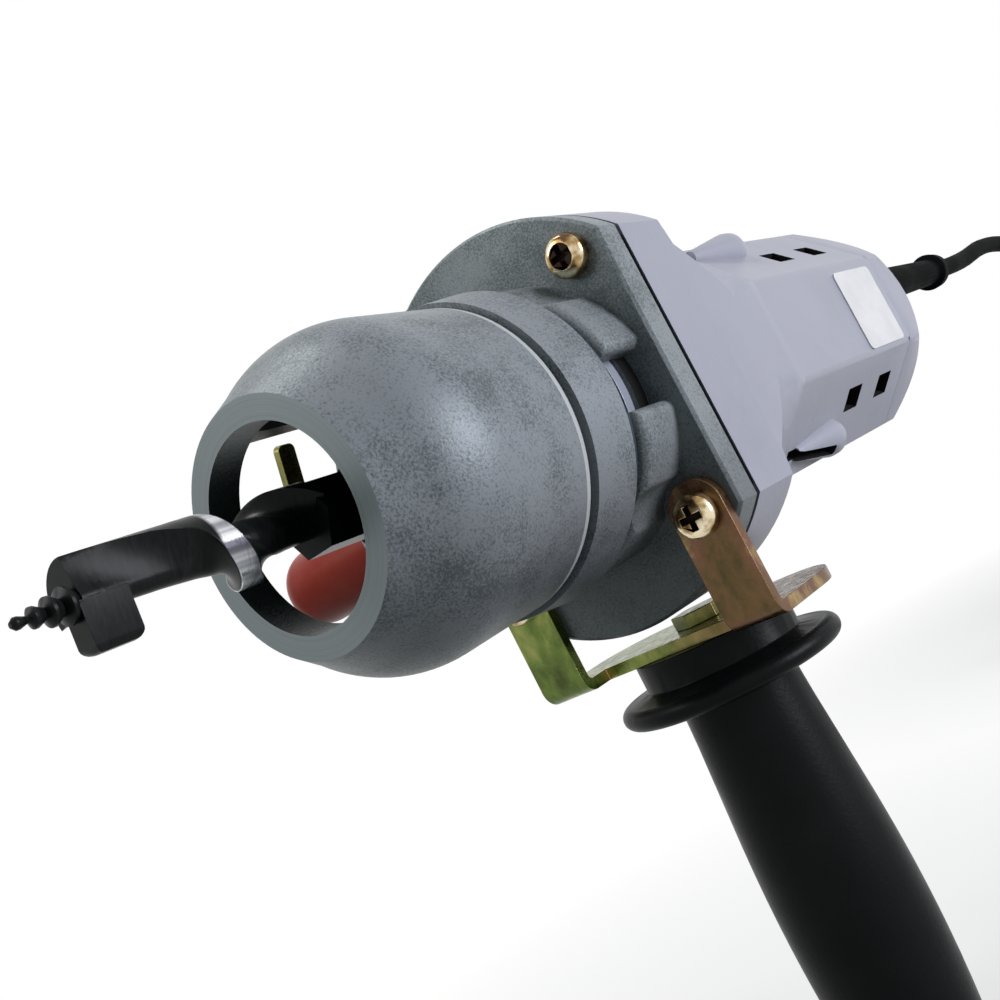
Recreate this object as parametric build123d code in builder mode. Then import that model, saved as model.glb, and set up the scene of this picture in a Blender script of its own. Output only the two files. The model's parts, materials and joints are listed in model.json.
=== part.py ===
"""Mains drill with a depth-stop bell, as separate pieces.

+X points forward along the spindle, +Y to the tool's left and +Z up.
The origin is where the side handle's axis meets the spindle line. Sizes are in millimetres.
"""
import os
from math import acos, asin, atan, atan2, ceil, cos, degrees, dist, hypot, pi, radians, sin, sqrt, tan

from build123d import *

os.makedirs("parts", exist_ok=True)

# Clearances
FIT = 0.05
RUNNING = 0.03
GAP = 0.3

# Bell
NOSE_X = 110.5
MOUTH_R = 25.5
MOUTH_BORE_R = 20.5
LIP_LENGTH = 7.8
LIP_REAR_R = 23.0
BELL_NECK = (102.5, 30.3)
BELL_BROW = (94.0, 34.8)
BELL_TOP = (85.0, 36.0)
BELL_INNER_TOP = (83.0, 31.8)
BELL_INNER_BROW = (92.0, 30.4)
RIDGE_X = 60.2
BELL_R = 34.95
BELL_WALL = 4.2
GROOVE_WIDTH = 1.6
GROOVE_DEPTH = 0.9
COLLAR_R = 37.1
COLLAR_FRONT_R = 36.0
COLLAR_LENGTH = 14.7
WINDOW_FRONT = 9.5
WINDOW_LENGTH = 40.0
WINDOW_HEIGHT = 50.0
WINDOW_CORNER = 9.0

# Front cover, with the spigot that the bell sits on and four claws round the screws
FLANGE_FRONT_X = 24.1
FLANGE_THICK = 8.0
FLANGE_R = 51.8
FLANGE_FLAT = 38.6
SPIGOT_R = 30.0
SPIGOT_BORE_R = 25.5
SPIGOT_OVERLAP = 12.0
SPIGOT_GROOVE = 1.8
CLAW_R = 36.0
CLAW_SLOT = 13.0
CLAW_GAP = 6.5
CLAW_ROUND = 2.4
SCREW_Y = 29.2
SCREW_Z = 32.75
SCALLOP_R = 10.0
SCREW_R = 2.9
SCREW_HEAD_R = 5.25
SCREW_HEAD_H = 3.9
SCREW_GRIP = 14.0
RECESS_SPAN = 5.6
RECESS_WIDTH = 1.5
RECESS_DEPTH = 2.0

# Motor housing and end cap
GASKET_THICK = 1.6
GASKET_INSET = 2.0
GASKET_SIDE_INSET = 0.4
HOUSING_FLANGE = 18.6
SHOULDER_STEP = 4.3
SHOULDER_LENGTH = 18.0
MOTOR_R = 40.2
MOTOR_REAR_R = 40.0
MOTOR_REAR_X = -130.0
MOTOR_BORE_R = 33.5
BARREL_FLAT = 36.0
BARREL_FRONT_X = -26.0
BARREL_BLEND = 16.0
GEAR_BORE_R = 36.4
GEAR_STEP_R = 34.8
BULKHEAD_X = -14.0
BULKHEAD_THICK = 8.0
BOSS_ANGLE = 57.0
BOSS_R = 5.6
BOSS_TIP_R = 2.0
BOSS_FRONT_X = -48.0
BOSS_RISE = 22.0
BOSS_LENGTH = 29.0
POCKET_FRONT_X = -43.0
POCKET_LENGTH = 24.0
POCKET_WIDTH = 3.2
POCKET_DEPTH = 2.6
VENT_ANGLE = 42.0
VENT_X = (-87.0, -113.0)
VENT_WIDTH = 11.0
VENT_HEIGHT = 7.4
CAP_LENGTH = 22.0
CAP_SHOULDER = 6.0
CAP_END_R = 33.0
CAP_WALL = 4.0
CAP_SCREW_R = 29.5
CAP_SCREW_BOSS_R = 4.9
CAP_SCREW_THREAD_R = 2.0
CAP_SCREW_HEAD_R = 3.6
CAP_SCREW_HEAD_H = 2.6
CAP_SCREW_GRIP = 9.0
CAP_SLOT_COUNT = 5
CAP_SLOT_WIDTH = 3.0
CAP_SLOT_LENGTH = 26.0
CAP_SLOT_PITCH = 6.5
CAP_SLOT_Z = -14.0

# Handle, bracket and side grip
PLATE_THICK = 3.0
ARM_WIDTH = 14.0
ARM_TOP = 8.0
PLATE_DROP = 5.7
PLATE_REAR_X = -17.0
PLATE_NOTCH_X = 17.0
PLATE_BEND_R = 4.5
PLATE_CORNER_R = 20.0
BOLT_R = 4.0
BOLT_HEAD_R = 7.5
BOLT_HEAD_H = 3.6
BOLT_LENGTH = 45.0
HANDLE_NECK_R = 21.0
GUARD_R = 30.0
NECK_HEIGHT = 7.5
GUARD_THICK = 6.5
GRIP_TOP_R = 15.6
GRIP_R = 18.6
GRIP_END_R = 10.0
GRIP_ROUND = 7.0
HANDLE_END_Z = -178.0
SIDE_GRIP_X = 5.0
SIDE_BOSS_R = 9.4
SIDE_BOSS_H = 5.0
SIDE_GRIP_R = 12.5
SIDE_GRIP_LENGTH = 84.0
SIDE_STUD_DEPTH = 5.0
SIDE_STUD_REACH = 30.0

# Chip deflector: a strap screwed to the bell's collar, with a tab that stands across the window
DEFLECTOR_ANGLE = 15.0
DEFLECTOR_SEAT_R = 36.5
DEFLECTOR_REAR_X = 53.5
DEFLECTOR_FRONT_X = 74.6
DEFLECTOR_WIDTH = 7.0
DEFLECTOR_TAB = 5.0
DEFLECTOR_RISE = 15.3
DEFLECTOR_ROUND = 1.5
DEFLECTOR_THICK = 2.0
DEFLECTOR_SCREW_X = 57.2

# Gear train: the armature and the spindle lie on one line, the layshaft above them
MODULE = 1.0
PRESSURE = radians(20.0)
ADDENDUM = 0.92
DEDENDUM = 1.25
BACKLASH = 0.16
FLANK_STEPS = 4
MOTOR_PINION_TEETH = 14
LAYSHAFT_GEAR_TEETH = 26
LAYSHAFT_PINION_TEETH = 16
SPINDLE_GEAR_TEETH = 24
GEAR_WIDTH = 8.0
SPINDLE_GEAR_X = 4.8
MOTOR_GEAR_X = -12.2
GEAR_PLATE_X = -2.5
GEAR_PLATE_THICK = 5.5
SPINDLE_R = 6.0
SPINDLE_TAIL_R = 4.0
SPINDLE_NOSE_R = 4.75
SPINDLE_NOSE_LENGTH = 15.0
SPINDLE_BEARING_R = 14.0
SPINDLE_BEARING_WIDTH = 8.0
SPINDLE_BUSH_R = 6.0
LAYSHAFT_R = 3.0
LAYSHAFT_BODY_R = 4.0
LAYSHAFT_BUSH_R = 5.0
LAYSHAFT_BUSH_LENGTH = 5.0

# Motor
SHAFT_R = 4.0
CORE_SHAFT_R = 5.0
MOTOR_BEARING_R = 11.0
MOTOR_BEARING_WIDTH = 7.0
FAN_R = 30.0
FAN_HUB_R = 9.0
FAN_X = -34.0
FAN_WIDTH = 9.0
FAN_PLATE = 2.0
FAN_BLADES = 11
CORE_R = 19.0
CORE_FRONT_X = -42.0
CORE_LENGTH = 46.0
CORE_SLOTS = 12
SLOT_WIDTH = 3.2
SLOT_DEPTH = 7.0
WINDING_R = 17.0
WINDING_HEAD = 6.0
COMMUTATOR_R = 13.0
COMMUTATOR_FRONT_X = -100.0
COMMUTATOR_LENGTH = 14.0
REAR_BEARING_X = -141.0
AIR_GAP = 0.5
YOKE_R = 29.5
POLE_WIDTH = 16.0
POLE_SHOE = 2.6
POLE_SPAN = 52.0
COIL_WIDTH = 4.5
BRUSH_WIDTH = 6.0
BRUSH_LENGTH = 10.0
BRUSH_REACH = 16.0
HOLDER_WALL = 2.0

# Switch on the right side
SWITCH_X = -112.0
SWITCH_LENGTH = 28.0
SWITCH_WIDTH = 16.0
SWITCH_DEPTH = 12.0
SWITCH_FRAME_Y = -40.0
SWITCH_FRAME_LENGTH = 30.0
SWITCH_FRAME_HEIGHT = 18.0
SLIDER_TRAVEL = 8.0
SLIDER_STEM = 10.0
SLIDER_STEM_HEIGHT = 4.6
SLIDER_PAD_LENGTH = 18.0
SLIDER_PAD_HEIGHT = 13.0
SLIDER_PAD_THICK = 4.0
SLIDER_RIBS = 4

# Chuck and auger bit
CHUCK_REAR_X = 42.0
CHUCK_LENGTH = 42.0
CHUCK_SLEEVE_R = 18.0
CHUCK_BODY_R = 15.2
CHUCK_NOSE_R = 12.0
CHUCK_NOSE_LENGTH = 7.0
CHUCK_NECK_R = 10.0
CHUCK_HUB = 7.0
CHUCK_NECK = 8.0
CHUCK_TEETH = 30
CROWN_HEIGHT = 2.5
KEY_HOLE_R = 3.0
KEY_HOLE_DEPTH = 6.7
JAW_R = 2.4
JAW_ANGLE = 12.0
JAW_LENGTH = 28.0
JAW_TIP_X = 86.0
JAW_TIP_R = 5.0
SHANK_R = 4.0
SHANK_REAR_X = 62.0
HEX_ACROSS = 13.0
HEX_REAR_X = 88.0
HEX_LENGTH = 17.0
NECK_R = 4.2
AUGER_R = 7.6
AUGER_FRONT_X = 154.0
AUGER_STATIONS = 30
LEAD_SCREW_R = 3.4
LEAD_SCREW_TIP_R = 0.5
LEAD_SCREW_LENGTH = 11.0
LEAD_SCREW_TURNS = 4
CUTTER_TURN = -97.0
CUTTER_R = 8.8
CUTTER_REAR_X = 146.0
CUTTER_DEPTH = 9.0
CUTTER_THICK = 5.4

# Cord
CORD_R = 3.5
RELIEF_Y = 26.0
RELIEF_Z = 7.0
RELIEF_LENGTH = 68.0
RELIEF_ROOT_R = 6.0
RELIEF_END_R = 4.9
RELIEF_COLLAR_R = 6.9
RELIEF_COLLAR = 9.0
TIE_THICK = 1.5
TIE_WIDTH = 10.0
COIL_X = -475.0
COIL_Y = 2.0
COIL_START_R = 50.0
TURN_STEP = 7.6
LAYER_LIFT = 7.6
COIL_LAYERS = 4
HALVES_PER_LAYER = 3
TAIL_LENGTH = 84.0
PLUG_LENGTH = 38.0
PLUG_WIDTH = 24.0
PLUG_THICK = 20.0
PIN_LENGTH = 17.5
PIN_WIDTH = 6.3
PIN_THICK = 1.5
PIN_SPACING = 12.7

# Places that follow from the driving dimensions
BELL_REAR_X = RIDGE_X - COLLAR_LENGTH
COVER_BACK_X = FLANGE_FRONT_X - FLANGE_THICK
HOUSING_FRONT_X = COVER_BACK_X - GASKET_THICK
SHOULDER_X = HOUSING_FRONT_X - HOUSING_FLANGE
SHOULDER_R = FLANGE_R - SHOULDER_STEP
PLATE_TOP_Z = -FLANGE_R - PLATE_DROP
GUARD_TOP_Z = PLATE_TOP_Z - PLATE_THICK - NECK_HEIGHT
BULKHEAD_REAR_X = BULKHEAD_X - BULKHEAD_THICK
LAYSHAFT_Z = MODULE*(MOTOR_PINION_TEETH + LAYSHAFT_GEAR_TEETH)/2
SPINDLE_BEARING_X = COVER_BACK_X + 1.5
CHUCK_FRONT_X = CHUCK_REAR_X + CHUCK_LENGTH
CAP_REAR_X = MOTOR_REAR_X - CAP_LENGTH
CORD_D = 2*CORD_R
FLOOR_Z = HANDLE_END_Z
COIL_Z = FLOOR_Z + TIE_THICK + CORD_R
RELIEF_END_X = CAP_REAR_X - RELIEF_LENGTH
SCREW_SPOTS = [(y, z) for y in (-SCREW_Y, SCREW_Y) for z in (-SCREW_Z, SCREW_Z)]


def lathe_face(*points):
    """Half section of a turned piece, as (x, radius) points above the spindle line."""
    with BuildSketch(Plane.XZ) as face:
        with BuildLine():
            Polyline(*points, close=True)
        make_face()
    return face.sketch


def round_face(x, radius, inner=0.0, y=0.0, z=0.0):
    """Disc or ring square to the spindle line at x."""
    with BuildSketch(Plane.YZ.offset(x)) as face:
        with Locations((y, z)):
            Circle(radius)
            if inner > 0:
                Circle(inner, mode=Mode.SUBTRACT)
    return face.sketch


def flange_face(x, inset=0.0, side_inset=0.0):
    """Double-D outline of the cover, the gasket and the housing."""
    with BuildSketch(Plane.YZ.offset(x)) as face:
        Circle(FLANGE_R - inset)
        Rectangle(2*(FLANGE_FLAT - side_inset), 2*FLANGE_R, mode=Mode.INTERSECT)
    return face.sketch


def gear_face(x, teeth, centre_z, phase):
    """Involute spur gear outline at x; phase is the angle of one tooth's middle from +Y."""
    pitch_r = MODULE*teeth/2
    base_r = pitch_r*cos(PRESSURE)
    tip_r = pitch_r + ADDENDUM*MODULE
    root_r = pitch_r - DEDENDUM*MODULE
    start_r = max(base_r, root_r + 0.01*MODULE)
    half = pi/(2*teeth) - BACKLASH/(2*pitch_r) + tan(PRESSURE) - PRESSURE

    def flank(radius):
        roll = acos(min(1.0, base_r/radius))
        return half - tan(roll) + roll

    steps = [start_r + (tip_r - start_r)*i/(FLANK_STEPS - 1) for i in range(FLANK_STEPS)]
    side = [(root_r, half)] + [(r, flank(r)) for r in steps]
    points = []
    for tooth in range(teeth):
        middle = phase + 2*pi*tooth/teeth
        points += [(r*cos(middle - a), r*sin(middle - a)) for r, a in side]
        points += [(r*cos(middle + a), r*sin(middle + a)) for r, a in reversed(side)]
    with BuildSketch(Plane.YZ.offset(x)) as face:
        with Locations((0, centre_z)):
            with BuildLine():
                Polyline(*points, close=True)
            make_face()
    return face.sketch.moved(Location((0, 0, centre_z)))


def bell_section():
    """Half section of the bell: flat nose, domed wall, grooved collar and the bore for the spigot."""
    lip_x = NOSE_X - LIP_LENGTH
    seat_x = BELL_REAR_X + SPIGOT_OVERLAP + GAP
    groove_x = RIDGE_X - GROOVE_WIDTH
    with BuildSketch(Plane.XZ) as face:
        with BuildLine():
            Line((NOSE_X, MOUTH_BORE_R), (NOSE_X, MOUTH_R))
            Line((NOSE_X, MOUTH_R), BELL_NECK)
            ThreePointArc(BELL_NECK, BELL_BROW, BELL_TOP)
            Polyline(BELL_TOP, (RIDGE_X, BELL_R), (RIDGE_X, BELL_R - GROOVE_DEPTH), (groove_x, BELL_R - GROOVE_DEPTH),
                     (groove_x, COLLAR_FRONT_R), (BELL_REAR_X, COLLAR_R), (BELL_REAR_X, SPIGOT_R + FIT),
                     (seat_x, SPIGOT_R + FIT), (seat_x, BELL_R - BELL_WALL), BELL_INNER_TOP)
            ThreePointArc(BELL_INNER_TOP, BELL_INNER_BROW, (lip_x, LIP_REAR_R))
            Polyline((lip_x, LIP_REAR_R), (lip_x, MOUTH_BORE_R), (NOSE_X, MOUTH_BORE_R))
        make_face()
    return face.sketch


# Bell
set_screw_x = BELL_REAR_X + SPIGOT_OVERLAP/2
lean = radians(DEFLECTOR_ANGLE)
deflector_plane = Plane(
    origin=(0, -DEFLECTOR_SEAT_R*cos(lean), DEFLECTOR_SEAT_R*sin(lean)),
    x_dir=(1, 0, 0),
    z_dir=(0, -cos(lean), sin(lean)),
)
deflector_axis = Axis((0, 0, 0), (0, -cos(lean), sin(lean)))
with BuildPart() as bell:
    revolve(bell_section(), axis=Axis.X)
    with BuildSketch(Plane.XZ) as window:
        with Locations((NOSE_X - WINDOW_FRONT - WINDOW_LENGTH/2, 0)):
            RectangleRounded(WINDOW_LENGTH, WINDOW_HEIGHT, WINDOW_CORNER)
    extrude(window.sketch, amount=2*COLLAR_R, mode=Mode.SUBTRACT)
    with BuildSketch(Plane.XZ) as set_screw_hole:
        with Locations((set_screw_x, 0)):
            Circle(CAP_SCREW_THREAD_R + FIT)
    extrude(set_screw_hole.sketch, amount=2*COLLAR_R, mode=Mode.SUBTRACT)
    with BuildSketch(deflector_plane) as deflector_hole:
        with Locations((DEFLECTOR_SCREW_X, 0)):
            Circle(CAP_SCREW_THREAD_R + FIT)
    extrude(deflector_hole.sketch, amount=-2*BELL_WALL, mode=Mode.SUBTRACT)
bell.part.label = "bell"
export_step(bell.part, "parts/bell.step")

with BuildPart() as bell_set_screw:
    with BuildSketch(Plane.XZ.offset(SPIGOT_R + GAP)) as shank:
        with Locations((set_screw_x, 0)):
            Circle(CAP_SCREW_THREAD_R)
    extrude(shank.sketch, amount=COLLAR_R - SPIGOT_R - GAP)
    with BuildSketch(Plane.XZ.offset(COLLAR_R)) as socket:
        with Locations((set_screw_x, 0)):
            RegularPolygon(0.6*CAP_SCREW_THREAD_R, 6)
    extrude(socket.sketch, amount=-CAP_SCREW_THREAD_R, mode=Mode.SUBTRACT)
bell_set_screw.part.label = "bell_set_screw"
export_step(bell_set_screw.part, "parts/bell_set_screw.step")

# Chip deflector
with BuildPart() as chip_deflector:
    with BuildSketch(deflector_plane) as strap:
        with Locations(((DEFLECTOR_REAR_X + DEFLECTOR_FRONT_X)/2, 0)):
            RectangleRounded(DEFLECTOR_FRONT_X - DEFLECTOR_REAR_X, DEFLECTOR_WIDTH, DEFLECTOR_ROUND)
        with Locations((DEFLECTOR_FRONT_X - DEFLECTOR_TAB/2, (DEFLECTOR_RISE - DEFLECTOR_WIDTH/2)/2)):
            RectangleRounded(DEFLECTOR_TAB, DEFLECTOR_RISE + DEFLECTOR_WIDTH/2, DEFLECTOR_ROUND)
        with Locations((DEFLECTOR_SCREW_X, 0)):
            Circle(CAP_SCREW_THREAD_R + FIT, mode=Mode.SUBTRACT)
    extrude(strap.sketch, amount=DEFLECTOR_THICK)
chip_deflector.part.label = "chip_deflector"
export_step(chip_deflector.part, "parts/chip_deflector.step")

with BuildPart() as deflector_screw:
    with BuildSketch(deflector_plane.offset(DEFLECTOR_THICK)) as head:
        with Locations((DEFLECTOR_SCREW_X, 0)):
            Circle(CAP_SCREW_HEAD_R)
    extrude(head.sketch, amount=CAP_SCREW_HEAD_H)
    fillet(deflector_screw.faces().sort_by(deflector_axis)[-1].edges(), CAP_SCREW_HEAD_H/3)
    with BuildSketch(deflector_plane.offset(DEFLECTOR_THICK)) as shank:
        with Locations((DEFLECTOR_SCREW_X, 0)):
            Circle(CAP_SCREW_THREAD_R)
    extrude(shank.sketch, amount=-DEFLECTOR_THICK - BELL_WALL)
deflector_screw.part.label = "deflector_screw"
export_step(deflector_screw.part, "parts/deflector_screw.step")

# Front cover
spigot_front_x = BELL_REAR_X + SPIGOT_OVERLAP
bearing_wall_x = SPIGOT_GROOVE + SPINDLE_BEARING_X + SPINDLE_BEARING_WIDTH
claw_front_x = BELL_REAR_X - CLAW_GAP
with BuildPart() as front_cover:
    extrude(flange_face(COVER_BACK_X), amount=FLANGE_THICK)
    chamfer(front_cover.faces().sort_by(Axis.X)[-1].edges(), FLANGE_THICK/10)
    revolve(lathe_face((FLANGE_FRONT_X - 1, 0), (FLANGE_FRONT_X - 1, CLAW_R), (claw_front_x, CLAW_R),
                       (claw_front_x, 0)), axis=Axis.X)
    claw_depth = claw_front_x - FLANGE_FRONT_X
    with BuildSketch(Plane.YZ.offset(FLANGE_FRONT_X)) as between_claws:
        Rectangle(3*CLAW_R, CLAW_SLOT)
        Rectangle(CLAW_SLOT, 3*CLAW_R)
        for y, z in SCREW_SPOTS:
            with Locations((y, z)):
                Circle(SCALLOP_R)
            with Locations((y, 1.5*z)):
                Rectangle(2*SCALLOP_R, SCREW_Z)
        Circle(SPIGOT_R, mode=Mode.SUBTRACT)
    extrude(between_claws.sketch, amount=claw_depth, mode=Mode.SUBTRACT)
    claw_edges = front_cover.edges().filter_by(lambda e: e.center().X > FLANGE_FRONT_X + 5)
    claw_edges = claw_edges.filter_by(lambda e: hypot(e.center().Y, e.center().Z) > SPIGOT_R + 3)
    fillet(claw_edges.filter_by(GeomType.LINE), CLAW_ROUND)
    nose_turns = [radians(22.5*i) for i in range(5)]
    claw_nose = [(claw_front_x + CLAW_ROUND*(sin(t) - 1), CLAW_R + CLAW_ROUND*(cos(t) - 1)) for t in nose_turns]
    revolve(lathe_face(*claw_nose, (claw_front_x + 1, CLAW_R - CLAW_ROUND), (claw_front_x + 1, CLAW_R + 1),
                       (claw_front_x - CLAW_ROUND, CLAW_R + 1)), axis=Axis.X, mode=Mode.SUBTRACT)
    extrude(round_face(FLANGE_FRONT_X, SPIGOT_R), amount=spigot_front_x - FLANGE_FRONT_X)
    for share in (0.30, 0.62):
        groove_x = FLANGE_FRONT_X + share*claw_depth
        revolve(lathe_face((groove_x, SPIGOT_R - SPIGOT_GROOVE), (groove_x + SPIGOT_GROOVE, SPIGOT_R - SPIGOT_GROOVE),
                           (groove_x + SPIGOT_GROOVE, SPIGOT_R), (groove_x, SPIGOT_R)),
                axis=Axis.X, mode=Mode.SUBTRACT)
    extrude(round_face(bearing_wall_x + 4, SPIGOT_BORE_R), amount=spigot_front_x, mode=Mode.SUBTRACT)
    extrude(round_face(COVER_BACK_X, SPINDLE_BEARING_R + FIT), amount=bearing_wall_x - COVER_BACK_X,
            mode=Mode.SUBTRACT)
    extrude(round_face(COVER_BACK_X, SPINDLE_R + 4*GAP), amount=spigot_front_x, mode=Mode.SUBTRACT)
    extrude(round_face(COVER_BACK_X, LAYSHAFT_BUSH_R + FIT, z=LAYSHAFT_Z), amount=LAYSHAFT_BUSH_LENGTH + GAP,
            mode=Mode.SUBTRACT)
    for y, z in SCREW_SPOTS:
        extrude(round_face(COVER_BACK_X, SCREW_R + GAP, y=y, z=z), amount=FLANGE_THICK, mode=Mode.SUBTRACT)
front_cover.part.label = "front_cover"
export_step(front_cover.part, "parts/front_cover.step")

# Gasket
with BuildPart() as gear_gasket:
    extrude(flange_face(HOUSING_FRONT_X, GASKET_INSET, GASKET_SIDE_INSET), amount=GASKET_THICK)
    extrude(round_face(HOUSING_FRONT_X, GEAR_BORE_R), amount=GASKET_THICK, mode=Mode.SUBTRACT)
    for y, z in SCREW_SPOTS:
        extrude(round_face(HOUSING_FRONT_X, SCREW_R + GAP, y=y, z=z), amount=GASKET_THICK, mode=Mode.SUBTRACT)
gear_gasket.part.label = "gear_gasket"
export_step(gear_gasket.part, "parts/gear_gasket.step")

# Motor housing: behind the shoulder its round body has eight shallow flats
def octagon_face(x, flat):
    """Octagon square to the spindle line, with flats to the sides, top and bottom."""
    with BuildSketch(Plane.YZ.offset(x)) as face:
        RegularPolygon(flat, 8, major_radius=False, rotation=22.5)
    return face.sketch


corner_signs = [(y, z) for y in (-1, 1) for z in (-1, 1)]
boss_y = (BARREL_FLAT + 1)*cos(radians(BOSS_ANGLE))
boss_z = (BARREL_FLAT + 1)*sin(radians(BOSS_ANGLE))
cap_screw_at = CAP_SCREW_R*cos(pi/4)
barrel_x = BARREL_FRONT_X - BARREL_BLEND
slot_front_x = SWITCH_X + SLIDER_STEM/2 + SLIDER_TRAVEL/2 + GAP
slot_length = SLIDER_STEM + SLIDER_TRAVEL + 2*GAP
with BuildPart() as motor_housing:
    revolve(lathe_face((HOUSING_FRONT_X, 0), (HOUSING_FRONT_X, FLANGE_R), (SHOULDER_X, FLANGE_R),
                       (SHOULDER_X - 1.5, SHOULDER_R), (SHOULDER_X - SHOULDER_LENGTH, MOTOR_R),
                       (MOTOR_REAR_X, MOTOR_REAR_R), (MOTOR_REAR_X, 0)), axis=Axis.X)
    extrude(flange_face(HOUSING_FRONT_X), amount=2*MOTOR_REAR_X, mode=Mode.INTERSECT)
    with BuildPart(mode=Mode.PRIVATE) as barrel:
        extrude(round_face(HOUSING_FRONT_X, 2*FLANGE_R), amount=BARREL_FRONT_X - HOUSING_FRONT_X)
        loft([octagon_face(BARREL_FRONT_X, MOTOR_R + 0.2), octagon_face(barrel_x, BARREL_FLAT)])
        extrude(octagon_face(barrel_x, BARREL_FLAT), amount=MOTOR_REAR_X - barrel_x)
    add(barrel.part, mode=Mode.INTERSECT)
    with BuildPart(mode=Mode.PRIVATE) as hump:
        hump_x = BOSS_FRONT_X - BOSS_RISE
        hump_end_x = BOSS_FRONT_X - BOSS_LENGTH
        revolve(lathe_face((BOSS_FRONT_X, 0), (BOSS_FRONT_X, BOSS_TIP_R), (hump_x, BOSS_R), (hump_x - 3, BOSS_R),
                           (hump_end_x + 1, 0.8*BOSS_R), (hump_end_x, 0.5*BOSS_R), (hump_end_x, 0)), axis=Axis.X)
    for sy, sz in corner_signs:
        add(hump.part.moved(Location((0, sy*boss_y, sz*boss_z))))
    with Locations((SWITCH_X, (SWITCH_FRAME_Y - MOTOR_BORE_R)/2, 0)):
        Box(SWITCH_FRAME_LENGTH, -SWITCH_FRAME_Y - MOTOR_BORE_R, SWITCH_FRAME_HEIGHT)
    with BuildSketch(Plane.XZ.offset(FLANGE_FLAT - 1)) as side_boss:
        with Locations((SIDE_GRIP_X, 0)):
            Circle(SIDE_BOSS_R)
    extrude(side_boss.sketch, amount=SIDE_BOSS_H + 1)
    revolve(lathe_face((HOUSING_FRONT_X, 0), (HOUSING_FRONT_X, GEAR_BORE_R), (GEAR_PLATE_X, GEAR_BORE_R),
                       (GEAR_PLATE_X, GEAR_STEP_R), (BULKHEAD_X, GEAR_STEP_R), (BULKHEAD_X, 0)),
            axis=Axis.X, mode=Mode.SUBTRACT)
    extrude(round_face(BULKHEAD_REAR_X, MOTOR_BORE_R), amount=2*MOTOR_REAR_X, mode=Mode.SUBTRACT)
    extrude(round_face(BULKHEAD_REAR_X, MOTOR_BEARING_R + FIT), amount=MOTOR_BEARING_WIDTH, mode=Mode.SUBTRACT)
    extrude(round_face(BULKHEAD_REAR_X, MOTOR_BEARING_R - 2), amount=BULKHEAD_THICK, mode=Mode.SUBTRACT)
    extrude(round_face(BULKHEAD_X, LAYSHAFT_BUSH_R + FIT, z=LAYSHAFT_Z), amount=-LAYSHAFT_BUSH_LENGTH - GAP,
            mode=Mode.SUBTRACT)
    for sy, sz in corner_signs:
        extrude(round_face(MOTOR_REAR_X, CAP_SCREW_BOSS_R, y=sy*cap_screw_at, z=sz*cap_screw_at),
                amount=CAP_SCREW_GRIP + 2)
        extrude(round_face(MOTOR_REAR_X, CAP_SCREW_THREAD_R + FIT, y=sy*cap_screw_at, z=sz*cap_screw_at),
                amount=CAP_SCREW_GRIP + GAP, mode=Mode.SUBTRACT)
        floor = 1 - POCKET_DEPTH/(BARREL_FLAT + 1)
        pocket = Location((POCKET_FRONT_X - POCKET_LENGTH/2, sy*floor*boss_y, sz*floor*boss_z),
                          (degrees(atan2(sz*boss_z, sy*boss_y)), 0, 0))
        if sz < 0:
            with Locations(pocket):
                Box(POCKET_LENGTH, POCKET_DEPTH + 2*BOSS_R, POCKET_WIDTH,
                    align=(Align.CENTER, Align.MIN, Align.CENTER), mode=Mode.SUBTRACT)
        for x in VENT_X:
            turn = degrees(atan2(sz*sin(radians(VENT_ANGLE)), sy*cos(radians(VENT_ANGLE))))
            spot = Location((x, sy*MOTOR_R*cos(radians(VENT_ANGLE)), sz*MOTOR_R*sin(radians(VENT_ANGLE))),
                            (turn, 0, 0))
            with Locations(spot):
                Box(VENT_WIDTH, 4*BOSS_R, VENT_HEIGHT, mode=Mode.SUBTRACT)
    for y, z in SCREW_SPOTS:
        extrude(round_face(HOUSING_FRONT_X, SCREW_R + FIT, y=y, z=z), amount=-SCREW_GRIP - GAP, mode=Mode.SUBTRACT)
    with Locations((slot_front_x - slot_length/2, SWITCH_FRAME_Y, 0)):
        Box(slot_length, 4*BOSS_R, SLIDER_STEM_HEIGHT + 2*GAP, mode=Mode.SUBTRACT)
    with BuildSketch(Plane.XZ.offset(FLANGE_FLAT + SIDE_BOSS_H)) as stud_hole:
        with Locations((SIDE_GRIP_X, 0)):
            Circle(BOLT_R + FIT)
    extrude(stud_hole.sketch, amount=-SIDE_STUD_DEPTH - GAP, mode=Mode.SUBTRACT)
motor_housing.part.label = "motor_housing"
export_step(motor_housing.part, "parts/motor_housing.step")

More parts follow.
